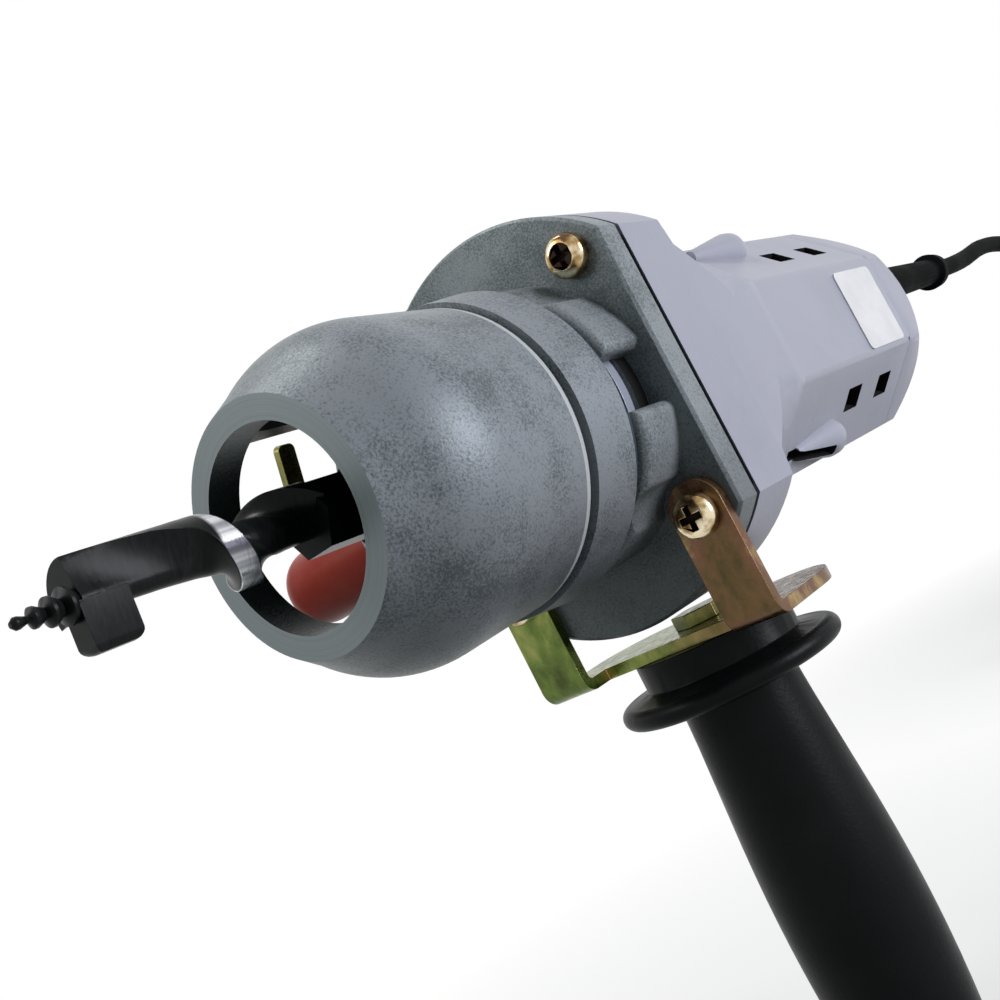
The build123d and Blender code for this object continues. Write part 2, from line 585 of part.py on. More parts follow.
# End cap
cap_inner_x = CAP_REAR_X + CAP_WALL
with BuildPart() as end_cap:
    revolve(lathe_face((MOTOR_REAR_X, 0), (MOTOR_REAR_X, MOTOR_REAR_R), (MOTOR_REAR_X - CAP_SHOULDER, MOTOR_REAR_R),
                       (CAP_REAR_X + 3, CAP_END_R + 2), (CAP_REAR_X, CAP_END_R), (CAP_REAR_X, 0)), axis=Axis.X)
    extrude(octagon_face(MOTOR_REAR_X, BARREL_FLAT), amount=-CAP_LENGTH, mode=Mode.INTERSECT)
    chamfer(end_cap.faces().sort_by(Axis.X)[-1].edges(), GAP)
    revolve(lathe_face((MOTOR_REAR_X, 0), (MOTOR_REAR_X, MOTOR_BORE_R - 1), (MOTOR_REAR_X - CAP_SHOULDER, MOTOR_BORE_R - 1),
                       (cap_inner_x, CAP_END_R - CAP_WALL), (cap_inner_x, 0)), axis=Axis.X, mode=Mode.SUBTRACT)
    bearing_boss_x = REAR_BEARING_X + MOTOR_BEARING_WIDTH + GAP
    extrude(round_face(cap_inner_x - 1, MOTOR_BEARING_R + 3), amount=bearing_boss_x - cap_inner_x + 1)
    extrude(round_face(REAR_BEARING_X, MOTOR_BEARING_R + FIT), amount=CAP_LENGTH, mode=Mode.SUBTRACT)
    for sy, sz in corner_signs:
        extrude(round_face(CAP_REAR_X, CAP_SCREW_BOSS_R, y=sy*cap_screw_at, z=sz*cap_screw_at), amount=CAP_LENGTH)
    for sy, sz in corner_signs:
        extrude(round_face(CAP_REAR_X, CAP_SCREW_THREAD_R + GAP, y=sy*cap_screw_at, z=sz*cap_screw_at),
                amount=CAP_LENGTH, mode=Mode.SUBTRACT)
        extrude(round_face(CAP_REAR_X - 1, CAP_SCREW_HEAD_R + GAP, y=sy*cap_screw_at, z=sz*cap_screw_at),
                amount=1 + CAP_SCREW_HEAD_H + 2, mode=Mode.SUBTRACT)
    with BuildSketch(Plane.YZ.offset(CAP_REAR_X - 1)) as slots:
        with Locations((0, CAP_SLOT_Z)):
            with GridLocations(0, CAP_SLOT_PITCH, 1, 3):
                SlotOverall(CAP_SLOT_LENGTH, CAP_SLOT_WIDTH)
    extrude(slots.sketch, amount=CAP_WALL + 1 - GAP, mode=Mode.SUBTRACT)
    extrude(round_face(CAP_REAR_X - 1, CORD_R + FIT, y=RELIEF_Y, z=RELIEF_Z), amount=CAP_WALL + 2, mode=Mode.SUBTRACT)
end_cap.part.label = "end_cap"
export_step(end_cap.part, "parts/end_cap.step")

with BuildPart() as end_cap_screws:
    for sy, sz in corner_signs:
        seat_x = CAP_REAR_X + CAP_SCREW_HEAD_H + 2
        extrude(round_face(seat_x, CAP_SCREW_HEAD_R, y=sy*cap_screw_at, z=sz*cap_screw_at), amount=-CAP_SCREW_HEAD_H)
        extrude(round_face(seat_x, CAP_SCREW_THREAD_R, y=sy*cap_screw_at, z=sz*cap_screw_at),
                amount=MOTOR_REAR_X + CAP_SCREW_GRIP - seat_x)
end_cap_screws.part.label = "end_cap_screws"
export_step(end_cap_screws.part, "parts/end_cap_screws.step")

# Flange screws: the lower two also hold the bracket
with BuildPart() as flange_screws:
    for y, z in SCREW_SPOTS:
        seat_x = FLANGE_FRONT_X + (PLATE_THICK if z < 0 else 0)
        shank_end = HOUSING_FRONT_X - SCREW_GRIP
        extrude(round_face(shank_end, SCREW_R, y=y, z=z), amount=seat_x - shank_end)
        with BuildPart(mode=Mode.PRIVATE) as head:
            extrude(round_face(seat_x, SCREW_HEAD_R, y=y, z=z), amount=SCREW_HEAD_H)
            fillet(head.faces().sort_by(Axis.X)[-1].edges(), 0.55*SCREW_HEAD_H)
            with BuildSketch(Plane.YZ.offset(seat_x + SCREW_HEAD_H)) as cross:
                with Locations((y, z)):
                    Rectangle(RECESS_SPAN, RECESS_WIDTH)
                    Rectangle(RECESS_WIDTH, RECESS_SPAN)
            extrude(cross.sketch, amount=-RECESS_DEPTH, mode=Mode.SUBTRACT)
        add(head.part)
flange_screws.part.label = "flange_screws"
export_step(flange_screws.part, "parts/flange_screws.step")

# Handle bracket
arm_front_x = FLANGE_FRONT_X + PLATE_THICK
arm_outer_y = SCREW_Y + ARM_WIDTH/2
arm_top_z = ARM_TOP - SCREW_Z
plate_bottom_z = PLATE_TOP_Z - PLATE_THICK
bend_x = arm_front_x - PLATE_BEND_R
bend_z = plate_bottom_z + PLATE_BEND_R
outer_mid = PLATE_BEND_R*cos(pi/4)
inner_mid = (PLATE_BEND_R - PLATE_THICK)*cos(pi/4)
with BuildPart() as handle_bracket:
    with BuildSketch(Plane.XZ) as bent:
        with BuildLine():
            Line((arm_front_x, arm_top_z), (arm_front_x, bend_z))
            ThreePointArc((arm_front_x, bend_z), (bend_x + outer_mid, bend_z - outer_mid), (bend_x, plate_bottom_z))
            Polyline((bend_x, plate_bottom_z), (PLATE_REAR_X, plate_bottom_z), (PLATE_REAR_X, PLATE_TOP_Z),
                     (bend_x, PLATE_TOP_Z))
            ThreePointArc((bend_x, PLATE_TOP_Z), (bend_x + inner_mid, bend_z - inner_mid), (FLANGE_FRONT_X, bend_z))
            Polyline((FLANGE_FRONT_X, bend_z), (FLANGE_FRONT_X, arm_top_z), (arm_front_x, arm_top_z))
        make_face()
    extrude(bent.sketch, amount=arm_outer_y, both=True)
    notch_length = arm_front_x - PLATE_NOTCH_X
    with Locations((arm_front_x - notch_length/2, 0, (arm_top_z + plate_bottom_z)/2)):
        Box(notch_length, 2*(SCREW_Y - ARM_WIDTH/2), arm_top_z - plate_bottom_z, mode=Mode.SUBTRACT)
    fillet(handle_bracket.edges().filter_by(Axis.X).group_by(Axis.Z)[-1], ARM_WIDTH/2 - 0.5)
    fillet(handle_bracket.edges().filter_by(Axis.Z).group_by(Axis.X)[0], PLATE_CORNER_R)
    for y in (-SCREW_Y, SCREW_Y):
        extrude(round_face(FLANGE_FRONT_X, SCREW_R + GAP, y=y, z=-SCREW_Z), amount=PLATE_THICK, mode=Mode.SUBTRACT)
    with BuildSketch(Plane.XY.offset(PLATE_TOP_Z)) as bolt_hole:
        Circle(BOLT_R + FIT)
    extrude(bolt_hole.sketch, amount=-PLATE_THICK, mode=Mode.SUBTRACT)
handle_bracket.part.label = "handle_bracket"
export_step(handle_bracket.part, "parts/handle_bracket.step")

with BuildPart() as handle_bolt:
    with BuildSketch(Plane.XY.offset(PLATE_TOP_Z)) as hexagon:
        RegularPolygon(BOLT_HEAD_R, 6)
    extrude(hexagon.sketch, amount=BOLT_HEAD_H)
    with BuildSketch(Plane.XY.offset(PLATE_TOP_Z)) as shank:
        Circle(BOLT_R)
    extrude(shank.sketch, amount=-BOLT_LENGTH)
handle_bolt.part.label = "handle_bolt"
export_step(handle_bolt.part, "parts/handle_bolt.step")

# Handle grip with its guard
guard_bottom_z = GUARD_TOP_Z - GUARD_THICK
bolt_end_z = PLATE_TOP_Z - BOLT_LENGTH - GAP
grip_length = guard_bottom_z - HANDLE_END_Z
with BuildPart() as handle_grip:
    with BuildSketch(Plane.XZ) as grip_section:
        with BuildLine():
            Polyline((BOLT_R + FIT, bolt_end_z), (BOLT_R + FIT, plate_bottom_z), (HANDLE_NECK_R, plate_bottom_z),
                     (HANDLE_NECK_R, GUARD_TOP_Z), (GUARD_R - GUARD_THICK/2, GUARD_TOP_Z - GUARD_THICK/5))
            ThreePointArc((GUARD_R - GUARD_THICK/2, GUARD_TOP_Z - GUARD_THICK/5), (GUARD_R, GUARD_TOP_Z - 0.6*GUARD_THICK),
                          (GUARD_R - GUARD_THICK/2, guard_bottom_z))
            Line((GUARD_R - GUARD_THICK/2, guard_bottom_z), (GRIP_TOP_R, guard_bottom_z))
            Spline((GRIP_TOP_R, guard_bottom_z), (0.4*GRIP_TOP_R + 0.6*GRIP_R, guard_bottom_z - 0.3*grip_length),
                   (GRIP_R, guard_bottom_z - 0.62*grip_length), (GRIP_END_R + GRIP_ROUND, HANDLE_END_Z + GRIP_ROUND),
                   tangents=((0.02, -1), (-0.1, -1)))
            ThreePointArc((GRIP_END_R + GRIP_ROUND, HANDLE_END_Z + GRIP_ROUND),
                          (GRIP_END_R + GRIP_ROUND*cos(pi/4), HANDLE_END_Z + GRIP_ROUND*(1 - cos(pi/4))),
                          (GRIP_END_R, HANDLE_END_Z))
            Polyline((GRIP_END_R, HANDLE_END_Z), (0, HANDLE_END_Z), (0, bolt_end_z), (BOLT_R + FIT, bolt_end_z))
        make_face()
    revolve(grip_section.sketch, axis=Axis.Z)
handle_grip.part.label = "handle_grip"
export_step(handle_grip.part, "parts/handle_grip.step")

# Side grip on the housing's right flat
side_seat_y = FLANGE_FLAT + SIDE_BOSS_H
side_end_y = side_seat_y + SIDE_GRIP_LENGTH
stud_end = side_seat_y + SIDE_STUD_REACH
round_r = 0.8*SIDE_GRIP_R
with BuildPart() as side_grip:
    with BuildSketch(Plane.XY) as side_section:
        with BuildLine():
            Polyline((SIDE_GRIP_X, -stud_end - GAP), (SIDE_GRIP_X + BOLT_R + FIT, -stud_end - GAP),
                     (SIDE_GRIP_X + BOLT_R + FIT, -side_seat_y), (SIDE_GRIP_X + SIDE_GRIP_R + 2, -side_seat_y),
                     (SIDE_GRIP_X + SIDE_GRIP_R + 2, -side_seat_y - 5))
            ThreePointArc((SIDE_GRIP_X + SIDE_GRIP_R + 2, -side_seat_y - 5),
                          (SIDE_GRIP_X + SIDE_GRIP_R - 1, -side_seat_y - 14),
                          (SIDE_GRIP_X + SIDE_GRIP_R, -side_seat_y - SIDE_GRIP_LENGTH/2))
            Line((SIDE_GRIP_X + SIDE_GRIP_R, -side_seat_y - SIDE_GRIP_LENGTH/2),
                 (SIDE_GRIP_X + SIDE_GRIP_R, -side_end_y + round_r))
            ThreePointArc((SIDE_GRIP_X + SIDE_GRIP_R, -side_end_y + round_r),
                          (SIDE_GRIP_X + SIDE_GRIP_R - round_r*(1 - cos(pi/4)), -side_end_y + round_r*(1 - cos(pi/4))),
                          (SIDE_GRIP_X + SIDE_GRIP_R - round_r, -side_end_y))
            Polyline((SIDE_GRIP_X + SIDE_GRIP_R - round_r, -side_end_y), (SIDE_GRIP_X, -side_end_y),
                     (SIDE_GRIP_X, -stud_end - GAP))
        make_face()
    revolve(side_section.sketch, axis=Axis((SIDE_GRIP_X, 0, 0), (0, 1, 0)))
side_grip.part.label = "side_grip"
export_step(side_grip.part, "parts/side_grip.step")

with BuildPart() as side_stud:
    with BuildSketch(Plane.XZ.offset(side_seat_y - SIDE_STUD_DEPTH)) as stud:
        with Locations((SIDE_GRIP_X, 0)):
            Circle(BOLT_R)
    extrude(stud.sketch, amount=SIDE_STUD_DEPTH + SIDE_STUD_REACH)
side_stud.part.label = "side_stud"
export_step(side_stud.part, "parts/side_stud.step")

# Spindle and its gear
gear_plate_front_x = GEAR_PLATE_X + GEAR_PLATE_THICK
spindle_gear_front_x = SPINDLE_GEAR_X + GEAR_WIDTH
spindle_step_x = CHUCK_REAR_X - GAP
with BuildPart() as spindle:
    revolve(lathe_face((GEAR_PLATE_X + GAP, 0), (GEAR_PLATE_X + GAP, SPINDLE_TAIL_R),
                       (gear_plate_front_x + GAP, SPINDLE_TAIL_R), (gear_plate_front_x + GAP, SPINDLE_R),
                       (spindle_step_x, SPINDLE_R), (spindle_step_x, SPINDLE_NOSE_R),
                       (CHUCK_REAR_X + SPINDLE_NOSE_LENGTH, SPINDLE_NOSE_R), (CHUCK_REAR_X + SPINDLE_NOSE_LENGTH, 0)),
            axis=Axis.X)
spindle.part.label = "spindle"
export_step(spindle.part, "parts/spindle.step")

with BuildPart() as spindle_gear:
    extrude(gear_face(SPINDLE_GEAR_X, SPINDLE_GEAR_TEETH, 0, pi/2), amount=GEAR_WIDTH)
    extrude(round_face(SPINDLE_GEAR_X, SPINDLE_R + FIT), amount=GEAR_WIDTH, mode=Mode.SUBTRACT)
spindle_gear.part.label = "spindle_gear"
export_step(spindle_gear.part, "parts/spindle_gear.step")

with BuildPart() as spindle_bearing:
    extrude(round_face(SPINDLE_BEARING_X, SPINDLE_BEARING_R, SPINDLE_R + RUNNING), amount=SPINDLE_BEARING_WIDTH)
    bearing_grooves = [(SPINDLE_R + 2.6, SPINDLE_BEARING_R - 2.6)]
    for inner, outer in bearing_grooves:
        for x, way in ((SPINDLE_BEARING_X, 1), (SPINDLE_BEARING_X + SPINDLE_BEARING_WIDTH, -1)):
            extrude(round_face(x, outer, inner), amount=way*0.8, mode=Mode.SUBTRACT)
spindle_bearing.part.label = "spindle_bearing"
export_step(spindle_bearing.part, "parts/spindle_bearing.step")

# Gear plate between the two stages
with BuildPart() as gear_plate:
    extrude(round_face(GEAR_PLATE_X, GEAR_BORE_R - FIT, SPINDLE_BUSH_R + FIT), amount=GEAR_PLATE_THICK)
    extrude(round_face(GEAR_PLATE_X, LAYSHAFT_BODY_R + 2*GAP, z=LAYSHAFT_Z), amount=GEAR_PLATE_THICK,
            mode=Mode.SUBTRACT)
gear_plate.part.label = "gear_plate"
export_step(gear_plate.part, "parts/gear_plate.step")

with BuildPart() as spindle_bush:
    extrude(round_face(GEAR_PLATE_X, SPINDLE_BUSH_R, SPINDLE_TAIL_R + RUNNING), amount=GEAR_PLATE_THICK)
spindle_bush.part.label = "spindle_bush"
export_step(spindle_bush.part, "parts/spindle_bush.step")

# Layshaft: its own pinion drives the spindle gear
layshaft_front_x = COVER_BACK_X + LAYSHAFT_BUSH_LENGTH
layshaft_rear_x = BULKHEAD_X - LAYSHAFT_BUSH_LENGTH
with BuildPart() as layshaft:
    extrude(round_face(layshaft_rear_x, LAYSHAFT_R, z=LAYSHAFT_Z), amount=layshaft_front_x - layshaft_rear_x)
    extrude(round_face(BULKHEAD_X + GAP, LAYSHAFT_BODY_R, z=LAYSHAFT_Z), amount=COVER_BACK_X - BULKHEAD_X - 2*GAP)
    extrude(gear_face(SPINDLE_GEAR_X - GAP, LAYSHAFT_PINION_TEETH, LAYSHAFT_Z, 1.5*pi + pi/LAYSHAFT_PINION_TEETH),
            amount=GEAR_WIDTH + 2*GAP)
layshaft.part.label = "layshaft"
export_step(layshaft.part, "parts/layshaft.step")

with BuildPart() as layshaft_gear:
    extrude(gear_face(MOTOR_GEAR_X, LAYSHAFT_GEAR_TEETH, LAYSHAFT_Z, 1.5*pi + pi/LAYSHAFT_GEAR_TEETH), amount=GEAR_WIDTH)
    extrude(round_face(MOTOR_GEAR_X, LAYSHAFT_BODY_R + FIT, z=LAYSHAFT_Z), amount=GEAR_WIDTH, mode=Mode.SUBTRACT)
layshaft_gear.part.label = "layshaft_gear"
export_step(layshaft_gear.part, "parts/layshaft_gear.step")

with BuildPart() as layshaft_bushes:
    for x in (COVER_BACK_X, BULKHEAD_X - LAYSHAFT_BUSH_LENGTH):
        extrude(round_face(x, LAYSHAFT_BUSH_R, LAYSHAFT_R + RUNNING, z=LAYSHAFT_Z), amount=LAYSHAFT_BUSH_LENGTH)
layshaft_bushes.part.label = "layshaft_bushes"
export_step(layshaft_bushes.part, "parts/layshaft_bushes.step")

# Armature
core_rear_x = CORE_FRONT_X - CORE_LENGTH
front_bearing_x = BULKHEAD_REAR_X
shaft_front_x = GEAR_PLATE_X - GAP
with BuildPart() as armature_shaft:
    revolve(lathe_face((REAR_BEARING_X, 0), (REAR_BEARING_X, SHAFT_R), (COMMUTATOR_FRONT_X - COMMUTATOR_LENGTH - 4, SHAFT_R),
                       (COMMUTATOR_FRONT_X - COMMUTATOR_LENGTH - 4, CORE_SHAFT_R), (front_bearing_x - GAP, CORE_SHAFT_R),
                       (front_bearing_x - GAP, SHAFT_R), (MOTOR_GEAR_X - GAP, SHAFT_R), (MOTOR_GEAR_X - GAP, 0)),
            axis=Axis.X)
    extrude(gear_face(MOTOR_GEAR_X - GAP, MOTOR_PINION_TEETH, 0, pi/2), amount=GEAR_WIDTH + 2*GAP)
armature_shaft.part.label = "armature_shaft"
export_step(armature_shaft.part, "parts/armature_shaft.step")

slot_turns = [360*i/CORE_SLOTS for i in range(CORE_SLOTS)]
with BuildPart() as armature_core:
    with BuildSketch(Plane.YZ.offset(core_rear_x)) as lamination:
        Circle(CORE_R)
        Circle(CORE_SHAFT_R + FIT, mode=Mode.SUBTRACT)
        with PolarLocations(CORE_R - SLOT_DEPTH/2 - 1, CORE_SLOTS):
            Rectangle(SLOT_DEPTH, SLOT_WIDTH, mode=Mode.SUBTRACT)
    extrude(lamination.sketch, amount=CORE_LENGTH)
armature_core.part.label = "armature_core"
export_step(armature_core.part, "parts/armature_core.step")

with BuildPart() as armature_winding:
    with BuildSketch(Plane.YZ.offset(core_rear_x - WINDING_HEAD)) as bars:
        with PolarLocations(CORE_R - SLOT_DEPTH/2 - 1, CORE_SLOTS):
            Rectangle(SLOT_DEPTH - 2*FIT, SLOT_WIDTH - 2*FIT)
    extrude(bars.sketch, amount=CORE_LENGTH + 2*WINDING_HEAD)
    for x, way in ((CORE_FRONT_X + FIT, 1), (core_rear_x - FIT, -1)):
        extrude(round_face(x, WINDING_R, CORE_SHAFT_R + FIT), amount=way*WINDING_HEAD)
armature_winding.part.label = "armature_winding"
export_step(armature_winding.part, "parts/armature_winding.step")

with BuildPart() as commutator:
    extrude(round_face(COMMUTATOR_FRONT_X, COMMUTATOR_R, CORE_SHAFT_R + FIT), amount=-COMMUTATOR_LENGTH)
    with BuildSketch(Plane.YZ.offset(COMMUTATOR_FRONT_X)) as risers:
        with PolarLocations(COMMUTATOR_R, 2*CORE_SLOTS):
            Rectangle(3, 0.7)
        Circle(COMMUTATOR_R - 1.2, mode=Mode.SUBTRACT)
    extrude(risers.sketch, amount=-3)
commutator.part.label = "commutator"
export_step(commutator.part, "parts/commutator.step")

with BuildPart() as fan:
    extrude(round_face(FAN_X, FAN_HUB_R, CORE_SHAFT_R + FIT), amount=FAN_WIDTH)
    extrude(round_face(FAN_X + FAN_WIDTH - FAN_PLATE, FAN_R, CORE_SHAFT_R + FIT), amount=FAN_PLATE)
    with BuildSketch(Plane.YZ.offset(FAN_X)) as blades:
        with PolarLocations((FAN_HUB_R + FAN_R)/2, FAN_BLADES):
            Rectangle(FAN_R - FAN_HUB_R, 1.5, rotation=18)
        Circle(FAN_R, mode=Mode.INTERSECT)
        Circle(FAN_HUB_R - 1, mode=Mode.SUBTRACT)
    extrude(blades.sketch, amount=FAN_WIDTH)
fan.part.label = "fan"
export_step(fan.part, "parts/fan.step")

with BuildPart() as motor_bearings:
    for x in (front_bearing_x, REAR_BEARING_X):
        extrude(round_face(x, MOTOR_BEARING_R, SHAFT_R + RUNNING), amount=MOTOR_BEARING_WIDTH)
motor_bearings.part.label = "motor_bearings"
export_step(motor_bearings.part, "parts/motor_bearings.step")

# Field: a yoke with two poles, and a coil round each pole
pole_r = CORE_R + AIR_GAP
with BuildPart() as field_core:
    with BuildSketch(Plane.YZ.offset(core_rear_x)) as stack:
        Circle(MOTOR_BORE_R - FIT)
        Circle(YOKE_R, mode=Mode.SUBTRACT)
        for sign in (-1, 1):
            with Locations((0, sign*(pole_r + YOKE_R)/2)):
                Rectangle(POLE_WIDTH, YOKE_R - pole_r + 2)
        with BuildSketch(mode=Mode.PRIVATE) as shoes:
            Circle(pole_r + POLE_SHOE)
            Rectangle(2*pole_r*cos(radians(90 - POLE_SPAN)), 4*pole_r, mode=Mode.INTERSECT)
        add(shoes.sketch)
        Circle(pole_r, mode=Mode.SUBTRACT)
    extrude(stack.sketch, amount=CORE_LENGTH)
field_core.part.label = "field_core"
export_step(field_core.part, "parts/field_core.step")

coil_inner_z = pole_r + POLE_SHOE + GAP
coil_outer_z = sqrt(YOKE_R**2 - (POLE_WIDTH/2 + GAP + COIL_WIDTH)**2) - GAP
with BuildPart() as field_coils:
    for sign in (-1, 1):
        with BuildSketch(Plane.XY.offset(sign*coil_inner_z)) as winding:
            with Locations((CORE_FRONT_X - CORE_LENGTH/2, 0)):
                RectangleRounded(CORE_LENGTH + 2*(GAP + COIL_WIDTH), POLE_WIDTH + 2*(GAP + COIL_WIDTH), COIL_WIDTH)
                Rectangle(CORE_LENGTH + 2*GAP, POLE_WIDTH + 2*GAP, mode=Mode.SUBTRACT)
        extrude(winding.sketch, amount=sign*(coil_outer_z - coil_inner_z))
field_coils.part.label = "field_coils"
export_step(field_coils.part, "parts/field_coils.step")

# Brushes
brush_x = COMMUTATOR_FRONT_X - COMMUTATOR_LENGTH/2 - 1.5
brush_tip = COMMUTATOR_R + GAP
holder_end = sqrt(MOTOR_BORE_R**2 - (BRUSH_WIDTH/2 + HOLDER_WALL)**2) - FIT
with BuildPart() as brush_holders:
    for sign in (-1, 1):
        with BuildSketch(Plane.XY.offset(sign*(brush_tip + 2.5))) as holder:
            with Locations((brush_x, 0)):
                Rectangle(BRUSH_LENGTH + 2*HOLDER_WALL, BRUSH_WIDTH + 2*HOLDER_WALL)
                Rectangle(BRUSH_LENGTH + 2*FIT, BRUSH_WIDTH + 2*FIT, mode=Mode.SUBTRACT)
        extrude(holder.sketch, amount=sign*(holder_end - brush_tip - 2.5))
brush_holders.part.label = "brush_holders"
export_step(brush_holders.part, "parts/brush_holders.step")

with BuildPart() as brushes:
    for sign in (-1, 1):
        with BuildSketch(Plane.XY.offset(sign*brush_tip)) as carbon:
            with Locations((brush_x, 0)):
                Rectangle(BRUSH_LENGTH, BRUSH_WIDTH)
        extrude(carbon.sketch, amount=sign*BRUSH_REACH)
brushes.part.label = "brushes"
export_step(brushes.part, "parts/brushes.step")

# Switch
switch_top_y = sqrt(MOTOR_BORE_R**2 - (SWITCH_WIDTH/2)**2) - FIT
with BuildPart() as switch_body:
    with BuildSketch(Plane.XZ.offset(switch_top_y)) as case:
        with Locations((SWITCH_X, 0)):
            Rectangle(SWITCH_LENGTH, SWITCH_WIDTH)
    extrude(case.sketch, amount=-SWITCH_DEPTH)
switch_body.part.label = "switch_body"
export_step(switch_body.part, "parts/switch_body.step")

stem_x = SWITCH_X - SLIDER_TRAVEL/2
with BuildPart() as switch_slider:
    with BuildSketch(Plane.XZ.offset(switch_top_y + GAP)) as stem:
        with Locations((stem_x, 0)):
            Rectangle(SLIDER_STEM, SLIDER_STEM_HEIGHT)
    extrude(stem.sketch, amount=-SWITCH_FRAME_Y - switch_top_y)
    with BuildSketch(Plane.XZ.offset(-SWITCH_FRAME_Y + GAP)) as pad:
        with Locations((stem_x, 0)):
            RectangleRounded(SLIDER_PAD_LENGTH, SLIDER_PAD_HEIGHT, 2)
    extrude(pad.sketch, amount=SLIDER_PAD_THICK)
    with BuildSketch(Plane.XZ.offset(-SWITCH_FRAME_Y + GAP + SLIDER_PAD_THICK)) as rib_lines:
        with Locations((stem_x, 0)):
            with GridLocations(3.2, 0, SLIDER_RIBS, 1):
                Rectangle(1.4, SLIDER_PAD_HEIGHT - 2)
    extrude(rib_lines.sketch, amount=1)
switch_slider.part.label = "switch_slider"
export_step(switch_slider.part, "parts/switch_slider.step")

# Chuck: body with three inclined jaw channels, sleeve with key teeth, three jaws
jaw_lean = radians(JAW_ANGLE)
nose_x = CHUCK_FRONT_X - CHUCK_NOSE_LENGTH
hub_x = CHUCK_REAR_X + CHUCK_HUB
neck_x = hub_x + CHUCK_NECK


def jaw_plane(turn):
    """Plane at a jaw's tip, whose normal runs back and outwards along the jaw's channel."""
    out = Vector(0, cos(turn), sin(turn))
    along = Vector(-cos(jaw_lean), 0, 0) + out*sin(jaw_lean)
    return Plane(origin=Vector(JAW_TIP_X, 0, 0) + out*JAW_TIP_R, x_dir=Vector(0, -sin(turn), cos(turn)), z_dir=along)


jaw_turns = [2*pi*i/3 for i in range(3)]
key_hole_x = nose_x - KEY_HOLE_R - 0.4
with BuildPart() as chuck_body:
    revolve(lathe_face((CHUCK_REAR_X, 0), (CHUCK_REAR_X, CHUCK_BODY_R), (hub_x, CHUCK_BODY_R), (hub_x, CHUCK_NECK_R),
                       (neck_x, CHUCK_NECK_R), (neck_x, CHUCK_BODY_R), (nose_x, CHUCK_BODY_R),
                       (CHUCK_FRONT_X, CHUCK_NOSE_R), (CHUCK_FRONT_X, 0)), axis=Axis.X)
    extrude(round_face(CHUCK_REAR_X, SPINDLE_NOSE_R + FIT), amount=CHUCK_LENGTH, mode=Mode.SUBTRACT)
    for turn in jaw_turns:
        with BuildSketch(jaw_plane(turn).offset(-JAW_LENGTH)) as channel:
            Circle(JAW_R + RUNNING)
        extrude(channel.sketch, amount=3*JAW_LENGTH, mode=Mode.SUBTRACT)
        out = Vector(0, -cos(turn), -sin(turn))
        with BuildSketch(Plane(origin=Vector(key_hole_x, 0, 0) + out*CHUCK_SLEEVE_R, x_dir=(1, 0, 0), z_dir=out)) as key_hole:
            Circle(KEY_HOLE_R)
        extrude(key_hole.sketch, amount=CHUCK_BODY_R - CHUCK_SLEEVE_R - KEY_HOLE_DEPTH, mode=Mode.SUBTRACT)
chuck_body.part.label = "chuck_body"
export_step(chuck_body.part, "parts/chuck_body.step")

with BuildPart() as chuck_sleeve:
    sleeve_rear_x = hub_x - CHUCK_HUB/2
    sleeve_bore_r = CHUCK_BODY_R + RUNNING
    crown_x = key_hole_x - KEY_HOLE_R - CROWN_HEIGHT - 0.6
    revolve(lathe_face((sleeve_rear_x, sleeve_bore_r), (sleeve_rear_x, CHUCK_SLEEVE_R - 1),
                       (sleeve_rear_x + 1, CHUCK_SLEEVE_R), (crown_x, CHUCK_SLEEVE_R), (crown_x, sleeve_bore_r)),
            axis=Axis.X)
    with BuildSketch(Plane.YZ.offset(crown_x)) as crown:
        Circle(CHUCK_SLEEVE_R - 0.4)
        Circle(sleeve_bore_r, mode=Mode.SUBTRACT)
        with PolarLocations(CHUCK_SLEEVE_R - 1, CHUCK_TEETH):
            Rectangle(6, 1.9, mode=Mode.SUBTRACT)
    extrude(crown.sketch, amount=CROWN_HEIGHT)
chuck_sleeve.part.label = "chuck_sleeve"
export_step(chuck_sleeve.part, "parts/chuck_sleeve.step")

for number, turn in enumerate(jaw_turns, start=1):
    with BuildPart() as chuck_jaw:
        with BuildSketch(jaw_plane(turn)) as rod:
            Circle(JAW_R)
        extrude(rod.sketch, amount=JAW_LENGTH)
        extrude(round_face(JAW_TIP_X - 2*JAW_LENGTH, SHANK_R + RUNNING), amount=3*JAW_LENGTH, mode=Mode.SUBTRACT)
    chuck_jaw.part.label = f"chuck_jaw_{number}"
    export_step(chuck_jaw.part, f"parts/chuck_jaw_{number}.step")

# Auger bit: a neck that opens into one twisting scoop, a hexagon shank, a lead screw and a cutter
# Each row of the twist is (x, turn from +Y, half angle of the land, radius of the core)
AUGER_TWIST = [
    (104.0, -290.0, 50.0, 3.4), (111.0, -240.0, 46.0, 3.6), (116.5, -175.0, 42.0, 4.0), (119.5, -135.0, 42.0, 4.2),
    (122.5, -97.0, 44.0, 4.0), (127.0, -7.0, 46.0, 3.6), (131.5, 75.0, 48.0, 3.0), (138.0, 105.0, 52.0, 2.6),
    (146.0, 125.0, 56.0, 2.4), (AUGER_FRONT_X, 140.0, 58.0, 2.4),
]


def twist_at(share):
    """Row of the twist at a share of the auger's turning, between the rows of the list."""
    steps = [hypot(b[0] - a[0], (b[1] - a[1])/12) for a, b in zip(AUGER_TWIST, AUGER_TWIST[1:])]
    left = share*sum(steps)
    for step, start, end in zip(steps, AUGER_TWIST, AUGER_TWIST[1:]):
        if left <= step or end is AUGER_TWIST[-1]:
            part = min(1.0, left/step)
            return [a + part*(b - a) for a, b in zip(start, end)]
        left -= step


